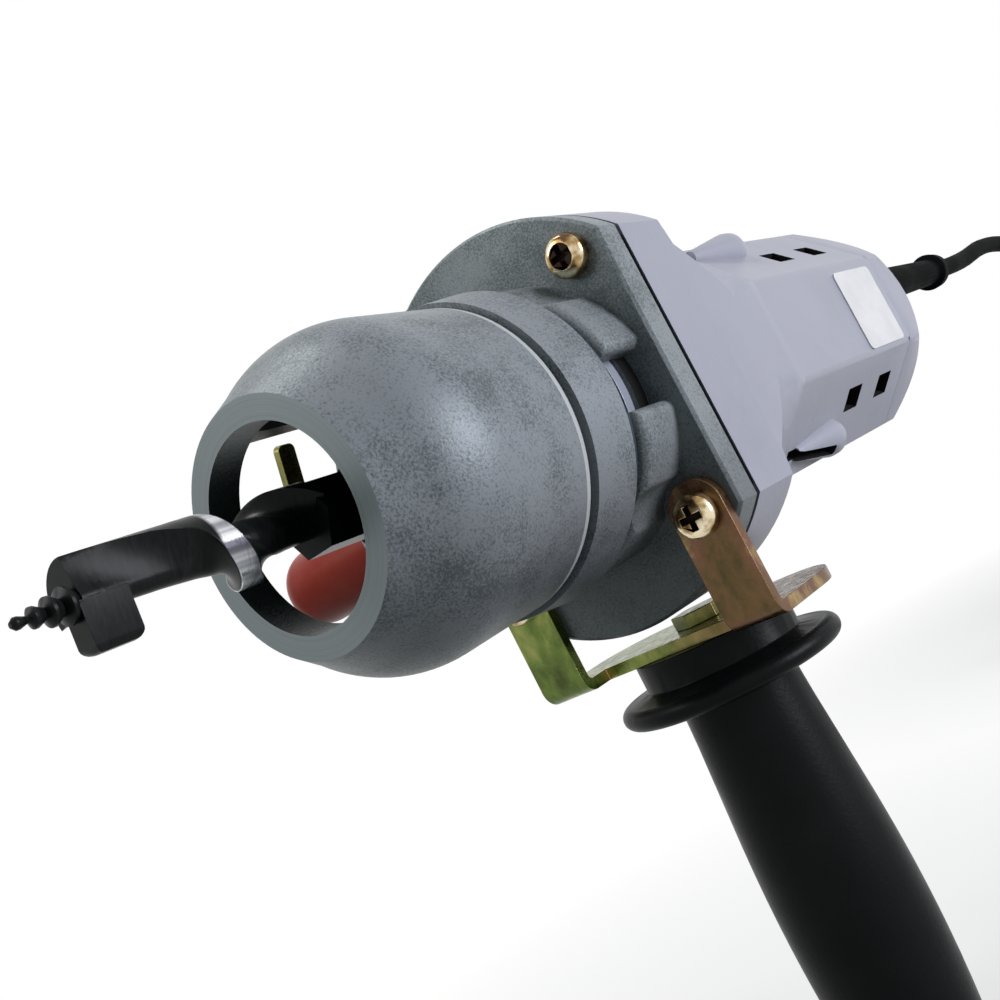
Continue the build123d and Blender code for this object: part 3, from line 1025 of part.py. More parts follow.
def auger_section(share):
    """Section of the auger: a land on the outside, hollow flanks and a round back."""
    x, turn, land, core_r = twist_at(share)
    turn = radians(turn)
    land_u = AUGER_R*cos(radians(land))
    land_v = AUGER_R*sin(radians(land))
    back_u = -0.34*core_r
    back_v = 0.94*core_r
    flank = (0.45*(land_u + back_u), 0.45*(land_v + back_v))
    plane = Plane(origin=(x, 0, 0), x_dir=(0, cos(turn), sin(turn)), z_dir=(1, 0, 0))
    with BuildSketch(plane) as section:
        with BuildLine():
            ThreePointArc((land_u, -land_v), (AUGER_R, 0), (land_u, land_v))
            ThreePointArc((land_u, land_v), flank, (back_u, back_v))
            ThreePointArc((back_u, back_v), (-core_r, 0), (back_u, -back_v))
            ThreePointArc((back_u, -back_v), (flank[0], -flank[1]), (land_u, -land_v))
        make_face()
    return section.sketch


def lead_screw_points():
    """Ridges of the lead screw, from its root to its point."""
    pitch = LEAD_SCREW_LENGTH/LEAD_SCREW_TURNS
    points = [(AUGER_FRONT_X - 4, 0), (AUGER_FRONT_X - 4, 0.8*LEAD_SCREW_R)]
    for turn in range(LEAD_SCREW_TURNS):
        x = AUGER_FRONT_X + turn*pitch
        crest = LEAD_SCREW_R + (LEAD_SCREW_TIP_R - LEAD_SCREW_R)*(turn + 0.5)/LEAD_SCREW_TURNS
        points += [(x, 0.66*crest), (x + 0.55*pitch, crest + 0.2), (x + 0.75*pitch, crest + 0.2)]
    end_x = AUGER_FRONT_X + LEAD_SCREW_LENGTH
    return points + [(end_x, LEAD_SCREW_TIP_R), (end_x, 0)]


with BuildPart() as drill_bit:
    loft([auger_section(i/(AUGER_STATIONS - 1)) for i in range(AUGER_STATIONS)])
    extrude(round_face(SHANK_REAR_X, SHANK_R), amount=HEX_REAR_X + 1 - SHANK_REAR_X)
    extrude(round_face(HEX_REAR_X, NECK_R), amount=AUGER_TWIST[0][0] + 1 - HEX_REAR_X)
    with BuildSketch(Plane.YZ.offset(HEX_REAR_X)) as hexagon:
        RegularPolygon(HEX_ACROSS/2, 6, major_radius=False)
    extrude(hexagon.sketch, amount=HEX_LENGTH)
    revolve(lathe_face(*lead_screw_points()), axis=Axis.X)
    with BuildSketch(Plane.YZ.offset(CUTTER_REAR_X)) as lip:
        Circle(CUTTER_R)
        with Locations(Location((0, 0, 0), (0, 0, CUTTER_TURN))):
            with Locations((CUTTER_R/2, 0)):
                Rectangle(CUTTER_R, CUTTER_THICK, mode=Mode.INTERSECT)
    extrude(lip.sketch, amount=CUTTER_DEPTH)
drill_bit.part.label = "drill_bit"
export_step(drill_bit.part, "parts/drill_bit.step")

# Strain relief
relief_axis = Axis((0, RELIEF_Y, RELIEF_Z), (1, 0, 0))
with BuildPart() as cord_relief:
    collar_x = RELIEF_END_X + RELIEF_COLLAR
    revolve(lathe_face((CAP_REAR_X, 0), (CAP_REAR_X, RELIEF_ROOT_R), (collar_x, RELIEF_END_R),
                       (collar_x - 1, RELIEF_COLLAR_R), (RELIEF_END_X + 2, RELIEF_COLLAR_R - 0.4),
                       (RELIEF_END_X, CORD_R + 1), (RELIEF_END_X, 0)), axis=Axis.X)
    extrude(round_face(CAP_REAR_X, CORD_R), amount=CAP_WALL)
cord_relief_placed = cord_relief.part.moved(Location((0, RELIEF_Y, RELIEF_Z)))
cord_relief_placed.label = "cord_relief"
export_step(cord_relief_placed, "parts/cord_relief.step")

# Cord: out of the relief, down to the floor, into the coil
CORD_POINTS = [
    (RELIEF_END_X, RELIEF_Y, RELIEF_Z), (-256, RELIEF_Y, RELIEF_Z), (-300, 26.5, 13), (-342, 29, 8), (-374, 33, -22),
    (-388, 38, -66), (-392, 43, -112), (-402, 48, -150), (-427, 51, -169.5), (-450, 52, -173),
    (COIL_X + CORD_D, COIL_Y + COIL_START_R, COIL_Z),
]


def bend_radii(points):
    """Largest tangent arc at each inner point that its two runs leave room for."""
    radii = []
    for before, here, after in zip(points, points[1:], points[2:]):
        arriving = Vector(*here) - Vector(*before)
        leaving = Vector(*after) - Vector(*here)
        half_turn = radians(arriving.get_angle(leaving))/2
        radii.append(0.45*min(arriving.length, leaving.length)/tan(half_turn))
    return radii


cord_radii = bend_radii(CORD_POINTS)
print("cord bend radii", [round(r, 1) for r in cord_radii])
with BuildPart() as cord:
    with BuildLine() as cord_path:
        FilletPolyline(*CORD_POINTS, radius=cord_radii)
    with BuildSketch(Plane(origin=cord_path.wire() @ 0, z_dir=cord_path.wire() % 0)):
        Circle(CORD_R)
    sweep(path=cord_path.wire())
free_length = cord_path.wire().length
print("free cord length", round(free_length, 1), "volume ratio", round(cord.part.volume/(pi*CORD_R**2*free_length), 4))
cord.part.label = "cord"
export_step(cord.part, "parts/cord.step")


def coil_stations():
    """Radius and height at the end of each half turn: in, out, in and out again, a layer higher each time."""
    radius = COIL_START_R
    height = COIL_Z
    places = [(radius, height)]
    for layer in range(COIL_LAYERS):
        way = -1 if layer % 2 == 0 else 1
        if layer > 0:
            radius -= way*TURN_STEP/2
            height += LAYER_LIFT
            places.append((radius, height))
            radius += way*TURN_STEP/2
        for half in range(HALVES_PER_LAYER if layer else HALVES_PER_LAYER + 2):
            radius += way*TURN_STEP/2
            places.append((radius, height))
    return places


stations = coil_stations()
coil_ends = [(COIL_X, COIL_Y + (r if i % 2 == 0 else -r), z) for i, (r, z) in enumerate(stations)]
plug_heading = -1 if (len(stations) - 1) % 2 == 0 else 1
tail_y, tail_z = coil_ends[-1][1:]
plug_z = FLOOR_Z + PLUG_THICK/2
tail_drop = tail_z - plug_z
tail_bend = 2*atan(tail_drop/TAIL_LENGTH)
tail_r = TAIL_LENGTH/(2*sin(tail_bend))
tail_run = tail_r*sin(tail_bend/2)
tail_fall = tail_r*(1 - cos(tail_bend/2))
tail_x = COIL_X + plug_heading*TAIL_LENGTH
plug_x = tail_x + plug_heading*CORD_D
plug_y = tail_y
with BuildPart() as cord_coil:
    with BuildLine() as coil_path:
        Line(CORD_POINTS[-1], coil_ends[0])
        for i, (start, end) in enumerate(zip(coil_ends, coil_ends[1:])):
            way = -1 if i % 2 == 0 else 1
            middle = (COIL_X + way*dist(start, end)/2, (start[1] + end[1])/2, (start[2] + end[2])/2)
            ThreePointArc(start, middle, end)
        tail_middle = (COIL_X + plug_heading*TAIL_LENGTH/2, tail_y, tail_z - tail_drop/2)
        ThreePointArc(coil_ends[-1], (COIL_X + plug_heading*tail_run, tail_y, tail_z - tail_fall), tail_middle)
        ThreePointArc(tail_middle, (tail_x - plug_heading*tail_run, tail_y, plug_z + tail_fall), (tail_x, tail_y, plug_z))
        Line((tail_x, tail_y, plug_z), (plug_x, plug_y, plug_z))
    with BuildSketch(Plane(origin=coil_path.wire() @ 0, z_dir=coil_path.wire() % 0)):
        Circle(CORD_R)
    sweep(path=coil_path.wire())
coil_length = coil_path.wire().length
print("coil length", round(coil_length, 1), "half turns", len(stations) - 1,
      "volume ratio", round(cord_coil.part.volume/(pi*CORD_R**2*coil_length), 4))
print("cord length in all", round(free_length + coil_length, 1))
cord_coil.part.label = "cord_coil"
export_step(cord_coil.part, "parts/cord_coil.step")


def least_self_gap(wire, samples):
    """Least distance between stretches of the coil that lie more than a third of a turn apart, less the cord."""
    points = [tuple(wire @ (i/samples)) for i in range(samples + 1)]
    apart = ceil(samples*COIL_START_R*2/wire.length)
    nearest = min(dist(p, q) for i, p in enumerate(points) for q in points[i + apart:])
    return nearest - CORD_D


print("coil's least gap to itself", round(least_self_gap(coil_path.wire(), 900), 2))

# Tie round the coil, on the side away from the plug
inner_tie = min(r for r, z in stations) - CORD_R - GAP
outer_tie = max(r for r, z in stations) + CORD_R + GAP
tie_height = CORD_D + (COIL_LAYERS - 1)*LAYER_LIFT + GAP
tie_middle = (inner_tie + outer_tie)/2
with BuildPart() as cord_tie:
    with BuildSketch(Plane.XZ.offset(-COIL_Y)) as band:
        with Locations((COIL_X - tie_middle, FLOOR_Z + TIE_THICK + tie_height/2)):
            RectangleRounded(outer_tie - inner_tie + 2*TIE_THICK, tie_height + 2*TIE_THICK, CORD_R)
            RectangleRounded(outer_tie - inner_tie, tie_height, CORD_R - TIE_THICK, mode=Mode.SUBTRACT)
    extrude(band.sketch, amount=TIE_WIDTH/2, both=True)
cord_tie.part.label = "cord_tie"
export_step(cord_tie.part, "parts/cord_tie.step")

# Plug with two flat pins, beside the coil
plug_end_x = plug_x + plug_heading*PLUG_LENGTH
with BuildPart() as plug:
    with BuildSketch(Plane.YZ.offset(plug_x)) as plug_rear:
        with Locations((plug_y, plug_z)):
            RectangleRounded(0.5*PLUG_WIDTH, 0.6*PLUG_THICK, 3)
    with BuildSketch(Plane.YZ.offset(plug_x + plug_heading*0.55*PLUG_LENGTH)) as plug_waist:
        with Locations((plug_y, plug_z)):
            RectangleRounded(PLUG_WIDTH, PLUG_THICK, 3)
    loft([plug_rear.sketch, plug_waist.sketch])
    extrude(plug_waist.sketch, amount=plug_heading*0.45*PLUG_LENGTH)
plug.part.label = "plug"
export_step(plug.part, "parts/plug.step")

with BuildPart() as plug_pins:
    with BuildSketch(Plane.YZ.offset(plug_end_x)) as pins:
        with Locations((plug_y - PIN_SPACING/2, plug_z), (plug_y + PIN_SPACING/2, plug_z)):
            Rectangle(PIN_THICK, PIN_WIDTH)
    extrude(pins.sketch, amount=plug_heading*PIN_LENGTH)
plug_pins.part.label = "plug_pins"
export_step(plug_pins.part, "parts/plug_pins.step")
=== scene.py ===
# %% [markdown]
# # A corded wood-boring drill, dressed for a picture
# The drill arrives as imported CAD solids, already in metres and in one frame: +X runs forward to the bit,
# +Y to the tool's left and +Z up. Blender doesn't move or resize them. It rounds their edges, gives every
# surface its finish and adds the small things that CAD leaves out.

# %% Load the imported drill
import json
from math import cos, hypot, pi, radians, sin

import bmesh
import bpy
from mathutils import Matrix, Vector


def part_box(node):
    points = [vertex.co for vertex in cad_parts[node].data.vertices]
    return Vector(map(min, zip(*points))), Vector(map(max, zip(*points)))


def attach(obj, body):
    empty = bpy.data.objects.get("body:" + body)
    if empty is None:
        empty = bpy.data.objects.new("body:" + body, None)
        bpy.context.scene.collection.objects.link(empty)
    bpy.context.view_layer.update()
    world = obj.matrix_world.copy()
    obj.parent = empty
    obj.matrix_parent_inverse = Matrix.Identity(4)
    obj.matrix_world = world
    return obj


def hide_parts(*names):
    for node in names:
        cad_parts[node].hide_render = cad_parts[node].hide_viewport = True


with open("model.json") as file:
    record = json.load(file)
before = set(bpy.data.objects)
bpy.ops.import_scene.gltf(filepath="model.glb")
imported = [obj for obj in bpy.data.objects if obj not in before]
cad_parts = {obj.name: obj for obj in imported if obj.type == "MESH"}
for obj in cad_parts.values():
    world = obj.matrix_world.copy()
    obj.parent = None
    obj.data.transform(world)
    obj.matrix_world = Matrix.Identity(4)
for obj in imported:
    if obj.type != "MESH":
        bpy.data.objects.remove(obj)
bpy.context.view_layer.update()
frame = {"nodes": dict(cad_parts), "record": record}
scene = bpy.context.scene

# %% [markdown]
# ## Camera
# The photograph was taken close to the bit, a little below the spindle line and with the camera rolled. A
# Track To constraint could aim a camera, but it can't hold a roll. The place was worked out from the
# rims, the flange and its screws, so the camera is written here as a position and two directions, right
# and back; the third, up, is square to both.

# %% Camera
CAMERA_PLACE = Vector((0.2483, 0.1621, -0.0289))
CAMERA_RIGHT = Vector((-0.5908, 0.6666, -0.4545)).normalized()
CAMERA_BACK = Vector((0.7710, 0.6325, -0.0745)).normalized()
CAMERA_UP = CAMERA_BACK.cross(CAMERA_RIGHT).normalized()
camera_data = bpy.data.cameras.new("photo_camera")
camera_data.lens = 41.4
camera_data.sensor_width = 36.0
camera_data.clip_start = 0.01
camera_data.clip_end = 50.0
camera = bpy.data.objects.new("photo_camera", camera_data)
scene.collection.objects.link(camera)
turned = Matrix((CAMERA_RIGHT, CAMERA_UP, CAMERA_BACK)).transposed()
camera.matrix_world = Matrix.Translation(CAMERA_PLACE) @ turned.to_4x4()
scene.camera = camera
print("camera", [round(v, 4) for v in camera.matrix_world.translation], "lens", camera_data.lens)

# %% [markdown]
# ## Node helpers
# Each finish below is a small node tree. Writing every node and link by hand hides the idea, so one
# helper adds a node, fills its inputs and links any input that is given as another node's output. The
# others stand for the few nodes that most finishes need. Every pattern reads Object coordinates, which
# are metres here.

# %% Helper for one node
def node(tree, kind, out=0, settings=None, **inputs):
    """Adds a node. An input is a value or a socket; its name has _ for a space, or is i and a number."""
    added = tree.nodes.new(kind)
    for name, value in (settings or {}).items():
        setattr(added, name, value)
    for name, value in inputs.items():
        key = int(name[1:]) if name[0] == "i" and name[1:].isdigit() else name.replace("_", " ")
        if isinstance(value, bpy.types.NodeSocket):
            tree.links.new(value, added.inputs[key])
        else:
            added.inputs[key].default_value = value
    return added.outputs[out]


def start_finish(name, **values):
    """New material with its shader's plain values set: material, tree, shader and Object coordinates."""
    material = bpy.data.materials.new(name)
    material.use_nodes = True
    tree = material.node_tree
    shader = tree.nodes["Principled BSDF"]
    for key, value in values.items():
        shader.inputs[key.replace("_", " ")].default_value = value
    place = node(tree, "ShaderNodeTexCoord", out=3)
    return material, tree, shader, place


print("node helper ready")

# %% Helpers for values
def arithmetic(tree, operation, *values):
    """Math node on two or three values."""
    numbered = {f"i{index}": value for index, value in enumerate(values)}
    return node(tree, "ShaderNodeMath", settings={"operation": operation}, **numbered)


def mapped(tree, value, from_low, from_high, to_low=0.0, to_high=1.0):
    """Moves a value from one range to another and holds it at the ends."""
    return node(tree, "ShaderNodeMapRange", Value=value, From_Min=from_low, From_Max=from_high,
                To_Min=to_low, To_Max=to_high)


def coordinate(tree, place, axis):
    """One coordinate of a place, by the axis's letter."""
    return node(tree, "ShaderNodeSeparateXYZ", out="XYZ".index(axis), Vector=place)


def distance(tree, place, spot):
    """Distance from a fixed spot."""
    return node(tree, "ShaderNodeVectorMath", out=1, settings={"operation": "DISTANCE"}, i0=place, i1=spot)


def spindle_radius(tree, place):
    """Distance from the spindle line."""
    flat = node(tree, "ShaderNodeMapping", Vector=place, Scale=(0.0, 1.0, 1.0))
    return node(tree, "ShaderNodeVectorMath", out=1, settings={"operation": "LENGTH"}, i0=flat)


print("value helpers ready")

# %% Helpers for patterns and colours
def noise(tree, place, scale, detail=4.0, roughness=0.55):
    """Noise value between 0 and 1 at a scale counted per metre."""
    return node(tree, "ShaderNodeTexNoise", Vector=place, Scale=scale, Detail=detail, Roughness=roughness)


def noise_along(tree, value, scale, detail):
    """Noise that follows one value, so that it makes bands or rings."""
    return node(tree, "ShaderNodeTexNoise", settings={"noise_dimensions": "1D"}, W=value, Scale=scale,
                Detail=detail)


def streaks(tree, place, scale):
    """Noise drawn out into streaks round the spindle line."""
    stretched = node(tree, "ShaderNodeMapping", Vector=place, Scale=(6.0, 1.0, 1.0))
    return noise(tree, stretched, scale, detail=5, roughness=0.65)


def ramp(tree, factor, *stops):
    """Colour ramp through (position, colour) stops."""
    added = tree.nodes.new("ShaderNodeValToRGB")
    elements = added.color_ramp.elements
    while len(elements) < len(stops):
        elements.new(0.5)
    for element, (position, colour) in zip(elements, stops):
        element.position = position
        element.color = (*colour, 1.0)
    tree.links.new(factor, added.inputs[0])
    return added.outputs[0]


def blended(tree, share, first, second, way="MIX"):
    """Colour that goes from the first to the second with the share."""
    return node(tree, "ShaderNodeMix", out=2, settings={"data_type": "RGBA", "blend_type": way}, i0=share,
                i6=first, i7=second)


def bump(tree, shader, height, depth, strength=1.0):
    """Surface relief of the given depth in metres."""
    normal = node(tree, "ShaderNodeBump", Height=height, Distance=depth, Strength=strength)
    tree.links.new(normal, shader.inputs["Normal"])


print("pattern helpers ready")

# %% [markdown]
# ## Floor
# The photograph is a cut-out on white. A brightly lit white floor could give that, but it would throw
# light on the tool. Here camera, mirror and glass rays see plain white instead, and other rays meet a
# dull floor that sends little light back up, so the tool's underside stays dark. The floor keeps the
# tool's shadow near the handle's foot and the coil of cord, and turns white away from them.

# %% Rays that see white
def white_share(tree, most):
    """Share of a ray that should see plain white: camera, mirror and glass rays."""
    path = tree.nodes.new("ShaderNodeLightPath")
    share = path.outputs["Is Camera Ray"]
    for kind in ("Is Glossy Ray", "Is Transmission Ray"):
        share = arithmetic(tree, "MAXIMUM", share, path.outputs[kind])
    return arithmetic(tree, "MULTIPLY", share, most)


print("white for camera, mirror and glass rays")

# %% Floor
FLOOR_Z = -0.178
FLOOR_REACH = 6.0
HANDLE_FOOT = (0.0, 0.0, FLOOR_Z)
COIL_FOOT = (-0.475, 0.0, FLOOR_Z)
SHADOW_FULL, SHADOW_GONE = 0.08, 0.30
SHADOW_WHITE = 0.70
PALE_FLOOR = (0.82, 0.82, 0.82, 1)
BOUNCE_FLOOR = (0.10, 0.12, 0.12, 1)
corners = [(x*FLOOR_REACH, y*FLOOR_REACH, FLOOR_Z) for x, y in ((-1, -1), (1, -1), (1, 1), (-1, 1))]
floor_mesh = bpy.data.meshes.new("floor")
floor_mesh.from_pydata(corners, [], [(0, 1, 2, 3)])
floor = bpy.data.objects.new("floor", floor_mesh)
scene.collection.objects.link(floor)
floor_paint, tree, matt, place = start_finish("floor_paint", Roughness=0.9)
path = tree.nodes.new("ShaderNodeLightPath")
bounced = blended(tree, path.outputs["Is Diffuse Ray"], PALE_FLOOR, BOUNCE_FLOOR)
tree.links.new(bounced, matt.inputs["Base Color"])
white = 1.0
for foot in (HANDLE_FOOT, COIL_FOOT):
    clear = mapped(tree, distance(tree, place, foot), SHADOW_FULL, SHADOW_GONE, SHADOW_WHITE, 1.0)
    white = arithmetic(tree, "MINIMUM", clear, white)
glow = node(tree, "ShaderNodeEmission", Color=(1, 1, 1, 1), Strength=1.0)
both = node(tree, "ShaderNodeMixShader", Fac=white_share(tree, white), i1=matt.outputs[0], i2=glow)
tree.links.new(both, tree.nodes["Material Output"].inputs["Surface"])
floor_mesh.materials.append(floor_paint)
print("floor at", FLOOR_Z)

# %% [markdown]
# ## Studio light
# The highlights on the bell show a large soft lamp on the tool's left and weaker ones above and in front.
# A sun lamp would give hard edges, so square area lamps stand in for softboxes. The world adds a weak
# bluish fill, and shows plain white to the same rays as the floor does.

# %% World
world = bpy.data.worlds.new("studio")
scene.world = world
world.use_nodes = True
tree = world.node_tree
surround = tree.nodes["Background"]
surround.inputs["Color"].default_value = (0.74, 0.97, 0.96, 1)
surround.inputs["Strength"].default_value = 0.09
plain = node(tree, "ShaderNodeBackground", Color=(1, 1, 1, 1), Strength=1.0)
both = node(tree, "ShaderNodeMixShader", Fac=white_share(tree, 1.0), i1=surround.outputs[0], i2=plain)
tree.links.new(both, tree.nodes["World Output"].inputs["Surface"])
scene.view_settings.view_transform = "Standard"
print("world", world.name)

# %% Lamps
def softbox(name, place, target, size, watts, colour=(1.0, 1.0, 1.0)):
    """Square soft lamp at a place, aimed at a target."""
    data = bpy.data.lights.new(name, "AREA")
    data.size = size
    data.energy = watts
    data.color = colour
    lamp = bpy.data.objects.new(name, data)
    lamp.location = place
    lamp.rotation_euler = (Vector(target) - Vector(place)).to_track_quat("-Z", "Y").to_euler()
    scene.collection.objects.link(lamp)


FLANGE_MIDDLE = (0, 0, 0)
BELL_MIDDLE = (0.05, 0, 0)
softbox("left_softbox", (-0.22, 0.92, 0.12), FLANGE_MIDDLE, size=0.45, watts=9.0, colour=(0.92, 0.92, 1.0))
softbox("top_softbox", (0.10, -0.22, 0.88), BELL_MIDDLE, size=0.25, watts=2.8)
softbox("bit_softbox", (0.62, -0.40, 0.50), BELL_MIDDLE, size=0.4, watts=2.2)

# %% [markdown]
# ## Mains cord
# The cord is one length of 7 mm rubber cable, about 2.46 m. It leaves the boot straight, drops to the
# floor and is wound there into a tied coil outside the picture. A swept mesh could follow the route too,
# but a curve keeps the line itself, which the checks measure. Its control points are the route's own
# points. The coil adds sixteen points a turn, pushed out a little because such a spline runs inside its
# control points. The tube's radius is set on the points and its bevel depth is 1, because a curve's box
# grows by its points' radius.

# %% Cord route
CORD_RADIUS = 0.0035
COIL_CENTRE = Vector((-0.475, 0.002, 0))
COIL_LIFT = 0.0015
COIL_FLOOR = FLOOR_Z + COIL_LIFT + CORD_RADIUS
LAYER_HEIGHT = 0.0076
POINTS_PER_HALF = 8
FREE_ROUTE = [
    (-0.220, 0.026, 0.007), (-0.256, 0.026, 0.007), (-0.300, 0.0265, 0.013), (-0.342, 0.029, 0.008),
    (-0.374, 0.033, -0.022), (-0.388, 0.038, -0.066), (-0.392, 0.043, -0.112), (-0.402, 0.048, -0.150),
    (-0.427, 0.051, -0.1695), (-0.450, 0.052, -0.173), (-0.468, 0.052, COIL_FLOOR),
]
PLUG_TAIL = [
    (-0.447, -0.0404, -0.1505), (-0.420, -0.0404, -0.164), (-0.398, -0.0404, -0.168),
    (-0.383, -0.0404, -0.168),
]
# Radius in millimetres and layer at the end of each half turn
HALF_TURNS = [
    (50.0, 0), (46.2, 0), (42.4, 0), (38.6, 0), (34.8, 0), (31.0, 0), (27.2, 1), (34.8, 1), (38.6, 1),
    (42.4, 1), (46.2, 2), (38.6, 2), (34.8, 2), (31.0, 2), (27.2, 3), (34.8, 3), (38.6, 3), (42.4, 3),
]


def half_turn_end(index):
    """Place where a half turn of the coil ends; the ends lie on the two sides in turn."""
    radius, layer = HALF_TURNS[index]
    side = 1 if index % 2 == 0 else -1
    return COIL_CENTRE + Vector((0, side*radius/1000, COIL_FLOOR + layer*LAYER_HEIGHT))


coil_route = []
push_out = 2/(1 + cos(pi/POINTS_PER_HALF/2)**2)
for index in range(len(HALF_TURNS) - 1):
    start, end = half_turn_end(index), half_turn_end(index + 1)
    middle = (start + end)/2
    arm = (start - middle)*push_out
    bulge = Vector((-arm.length if index % 2 == 0 else arm.length, 0, 0))
    for step in range(POINTS_PER_HALF):
        turn = pi*(step + 0.5)/POINTS_PER_HALF
        coil_route.append(tuple(middle + arm*cos(turn) + bulge*sin(turn)))
route = FREE_ROUTE + coil_route + PLUG_TAIL
print("cord points", len(route), "of which the coil has", len(coil_route))

# %% Cord
curve = bpy.data.curves.new("mains_cord", "CURVE")
curve.dimensions = "3D"
curve.bevel_depth = 1.0
curve.bevel_resolution = 4
curve.resolution_u = 5
curve.use_fill_caps = True
spline = curve.splines.new("NURBS")
spline.points.add(len(route) - 1)
for point, place in zip(spline.points, route):
    point.co = (*place, 1.0)
    point.radius = CORD_RADIUS
spline.order_u = 3
spline.use_endpoint_u = True
mains_cord = bpy.data.objects.new("mains_cord", curve)
scene.collection.objects.link(mains_cord)
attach(mains_cord, "tool")
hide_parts("cord", "cord_coil")
print("cord", mains_cord.name, "radius", CORD_RADIUS)

# %% [markdown]
# ## Cast aluminium
# The bell and the front cover are tumbled sand castings: dull grey metal with a fine dark grain where
# handling has stained the pores. A photographed texture would need seams, so the grain is grown from
# noise: a broad one makes soft clouds, a fine one the grain, and cells the pits. The same grain drives
# the bump, so the light catches each pit. Painted shade darkens the colour towards the undersides. The
# bell also has a painted highlight: a bright band in front of its groove, where the ridge's edge catches
# light. A faint ring on its left side is the mark of a moulding pin.

# %% Cast aluminium
PIN_MARK = (0.0741, 0.0354, -0.0032)
PIN_MARK_R = 0.0038
PIN_RING_HALF = 0.0004
PIN_RING_DEPTH = -2.5
PAINTED_HIGHLIGHT_X = 0.0607
PAINTED_HIGHLIGHT_HALF = 0.0008
PAINTED_HIGHLIGHT_GREY = (0.50, 0.52, 0.52, 1.0)
PAINTED_SHADE_LOW_Z, PAINTED_SHADE_TOP_Z = -0.036, -0.012


def cast_aluminium(name, light, dark, marked=False):
    """Tumbled casting between two greys with painted shade below; a marked one adds a painted highlight
    and pin ring.
    """
    material, tree, shader, place = start_finish(
        name, Metallic=0.08, Specular_IOR_Level=0.32, Specular_Tint=(0.80, 0.97, 1.0, 1.0))
    cloud = noise(tree, place, scale=60, detail=5, roughness=0.6)
    grain = noise(tree, place, scale=1900, detail=3, roughness=0.6)
    pits = node(tree, "ShaderNodeTexVoronoi", Vector=place, Scale=700, Randomness=1.0)
    tone = arithmetic(tree, "MULTIPLY_ADD", cloud, 0.9, grain)
    colour = ramp(tree, tone, (0.74, dark), (1.0, light))
    pit_shade = mapped(tree, pits, 0.05, 0.24, 0.72, 1.0)
    # Painted shade: the colour darkens towards the bottom, where the undersides lie in shade.
    painted_underside_shade = mapped(tree, coordinate(tree, place, "Z"), PAINTED_SHADE_LOW_Z, PAINTED_SHADE_TOP_Z, 0.56, 1.0)
    shade = arithmetic(tree, "MULTIPLY", pit_shade, painted_underside_shade)
    colour = blended(tree, 1.0, colour, shade, "MULTIPLY")
    tree.links.new(mapped(tree, grain, 0.3, 0.75, 0.46, 0.34), shader.inputs["Roughness"])
    height = arithmetic(tree, "MULTIPLY_ADD", pit_shade, 0.6, grain)
    if marked:
        # Painted highlight: a bright band just in front of the bell's groove, where its edge catches
        # light.
        painted_highlight_band = arithmetic(tree, "COMPARE", coordinate(tree, place, "X"), PAINTED_HIGHLIGHT_X, PAINTED_HIGHLIGHT_HALF)
        colour = blended(tree, painted_highlight_band, colour, PAINTED_HIGHLIGHT_GREY)
        ring = arithmetic(tree, "COMPARE", distance(tree, place, PIN_MARK), PIN_MARK_R, PIN_RING_HALF)
        height = arithmetic(tree, "MULTIPLY_ADD", ring, PIN_RING_DEPTH, height)
    tree.links.new(colour, shader.inputs["Base Color"])
    bump(tree, shader, height, depth=0.00016, strength=0.5)
    return material


bell_casting = cast_aluminium("bell_casting", (0.238, 0.256, 0.274), (0.090, 0.105, 0.112), marked=True)
cover_casting = cast_aluminium("cover_casting", (0.24, 0.262, 0.272), (0.10, 0.117, 0.12))
# Painted shade: a much darker casting for the bell's inward faces.
bell_inside_shade = cast_aluminium("bell_inside_shade", (0.050, 0.060, 0.060), (0.020, 0.026, 0.026))
finish = {"cast_aluminium": cover_casting}
print("castings", bell_casting.name, cover_casting.name, bell_inside_shade.name)

# %% [markdown]
# ## Turned faces
# The bell's nose and the cover's spigot were turned on a lathe after casting, which leaves fine rings
# round the spindle line. Noise that follows the distance from that line draws them without any texture to
# place.

# %% Turned faces
def machined_face(name, light, dark, metallic, roughness):
    """Turned face: smooth bluish metal with fine rings round the spindle line."""
    material, tree, shader, place = start_finish(name, Metallic=metallic, Roughness=roughness)
    rings = noise_along(tree, spindle_radius(tree, place), scale=2600.0, detail=3.0)
    tree.links.new(ramp(tree, rings, (0.30, dark), (0.75, light)), shader.inputs["Base Color"])
    bump(tree, shader, rings, depth=0.00003, strength=0.25)
    return material


nose_face = machined_face("nose_face", (0.215, 0.25, 0.26), (0.17, 0.20, 0.21), metallic=0.5,
                          roughness=0.36)
spigot_face = machined_face("spigot_face", (0.46, 0.49, 0.57), (0.35, 0.375, 0.45), metallic=0.35,
                            roughness=0.28)
print("turned faces", nose_face.name, spigot_face.name)

# %% [markdown]
# ## Grey paint
# The motor housing has a satin grey paint. Sprayed paint dries with a faint orange peel, so a fine bump
# goes over an even colour, and a broad noise adds a little dirt.

# %% Grey paint
def grey_paint():
    """Satin paint with orange peel and faint dirt."""
    material, tree, shader, place = start_finish("grey_paint", Roughness=0.42, Specular_IOR_Level=0.35)
    dirt = noise(tree, place, scale=30, detail=6, roughness=0.65)
    colour = ramp(tree, dirt, (0.30, (0.325, 0.332, 0.383)), (0.48, (0.346, 0.354, 0.41)),
                  (0.72, (0.357, 0.365, 0.42)))
    tree.links.new(colour, shader.inputs["Base Color"])
    peel = noise(tree, place, scale=700, detail=2, roughness=0.4)
    bump(tree, shader, peel, depth=0.00012, strength=0.5)
    return material


finish["grey_paint"] = grey_paint()
print("paint", finish["grey_paint"].name)

# %% [markdown]
# ## Yellow passivated zinc
# The screws and the bracket are zinc plated with a yellow chromate film, whose colour depends on its
# thickness: it drifts from straw to rose and green. One flat gold would look painted, so a noise runs
# through two ramps, rose on the tool's left and green on its right, as the bracket's two arms have them.

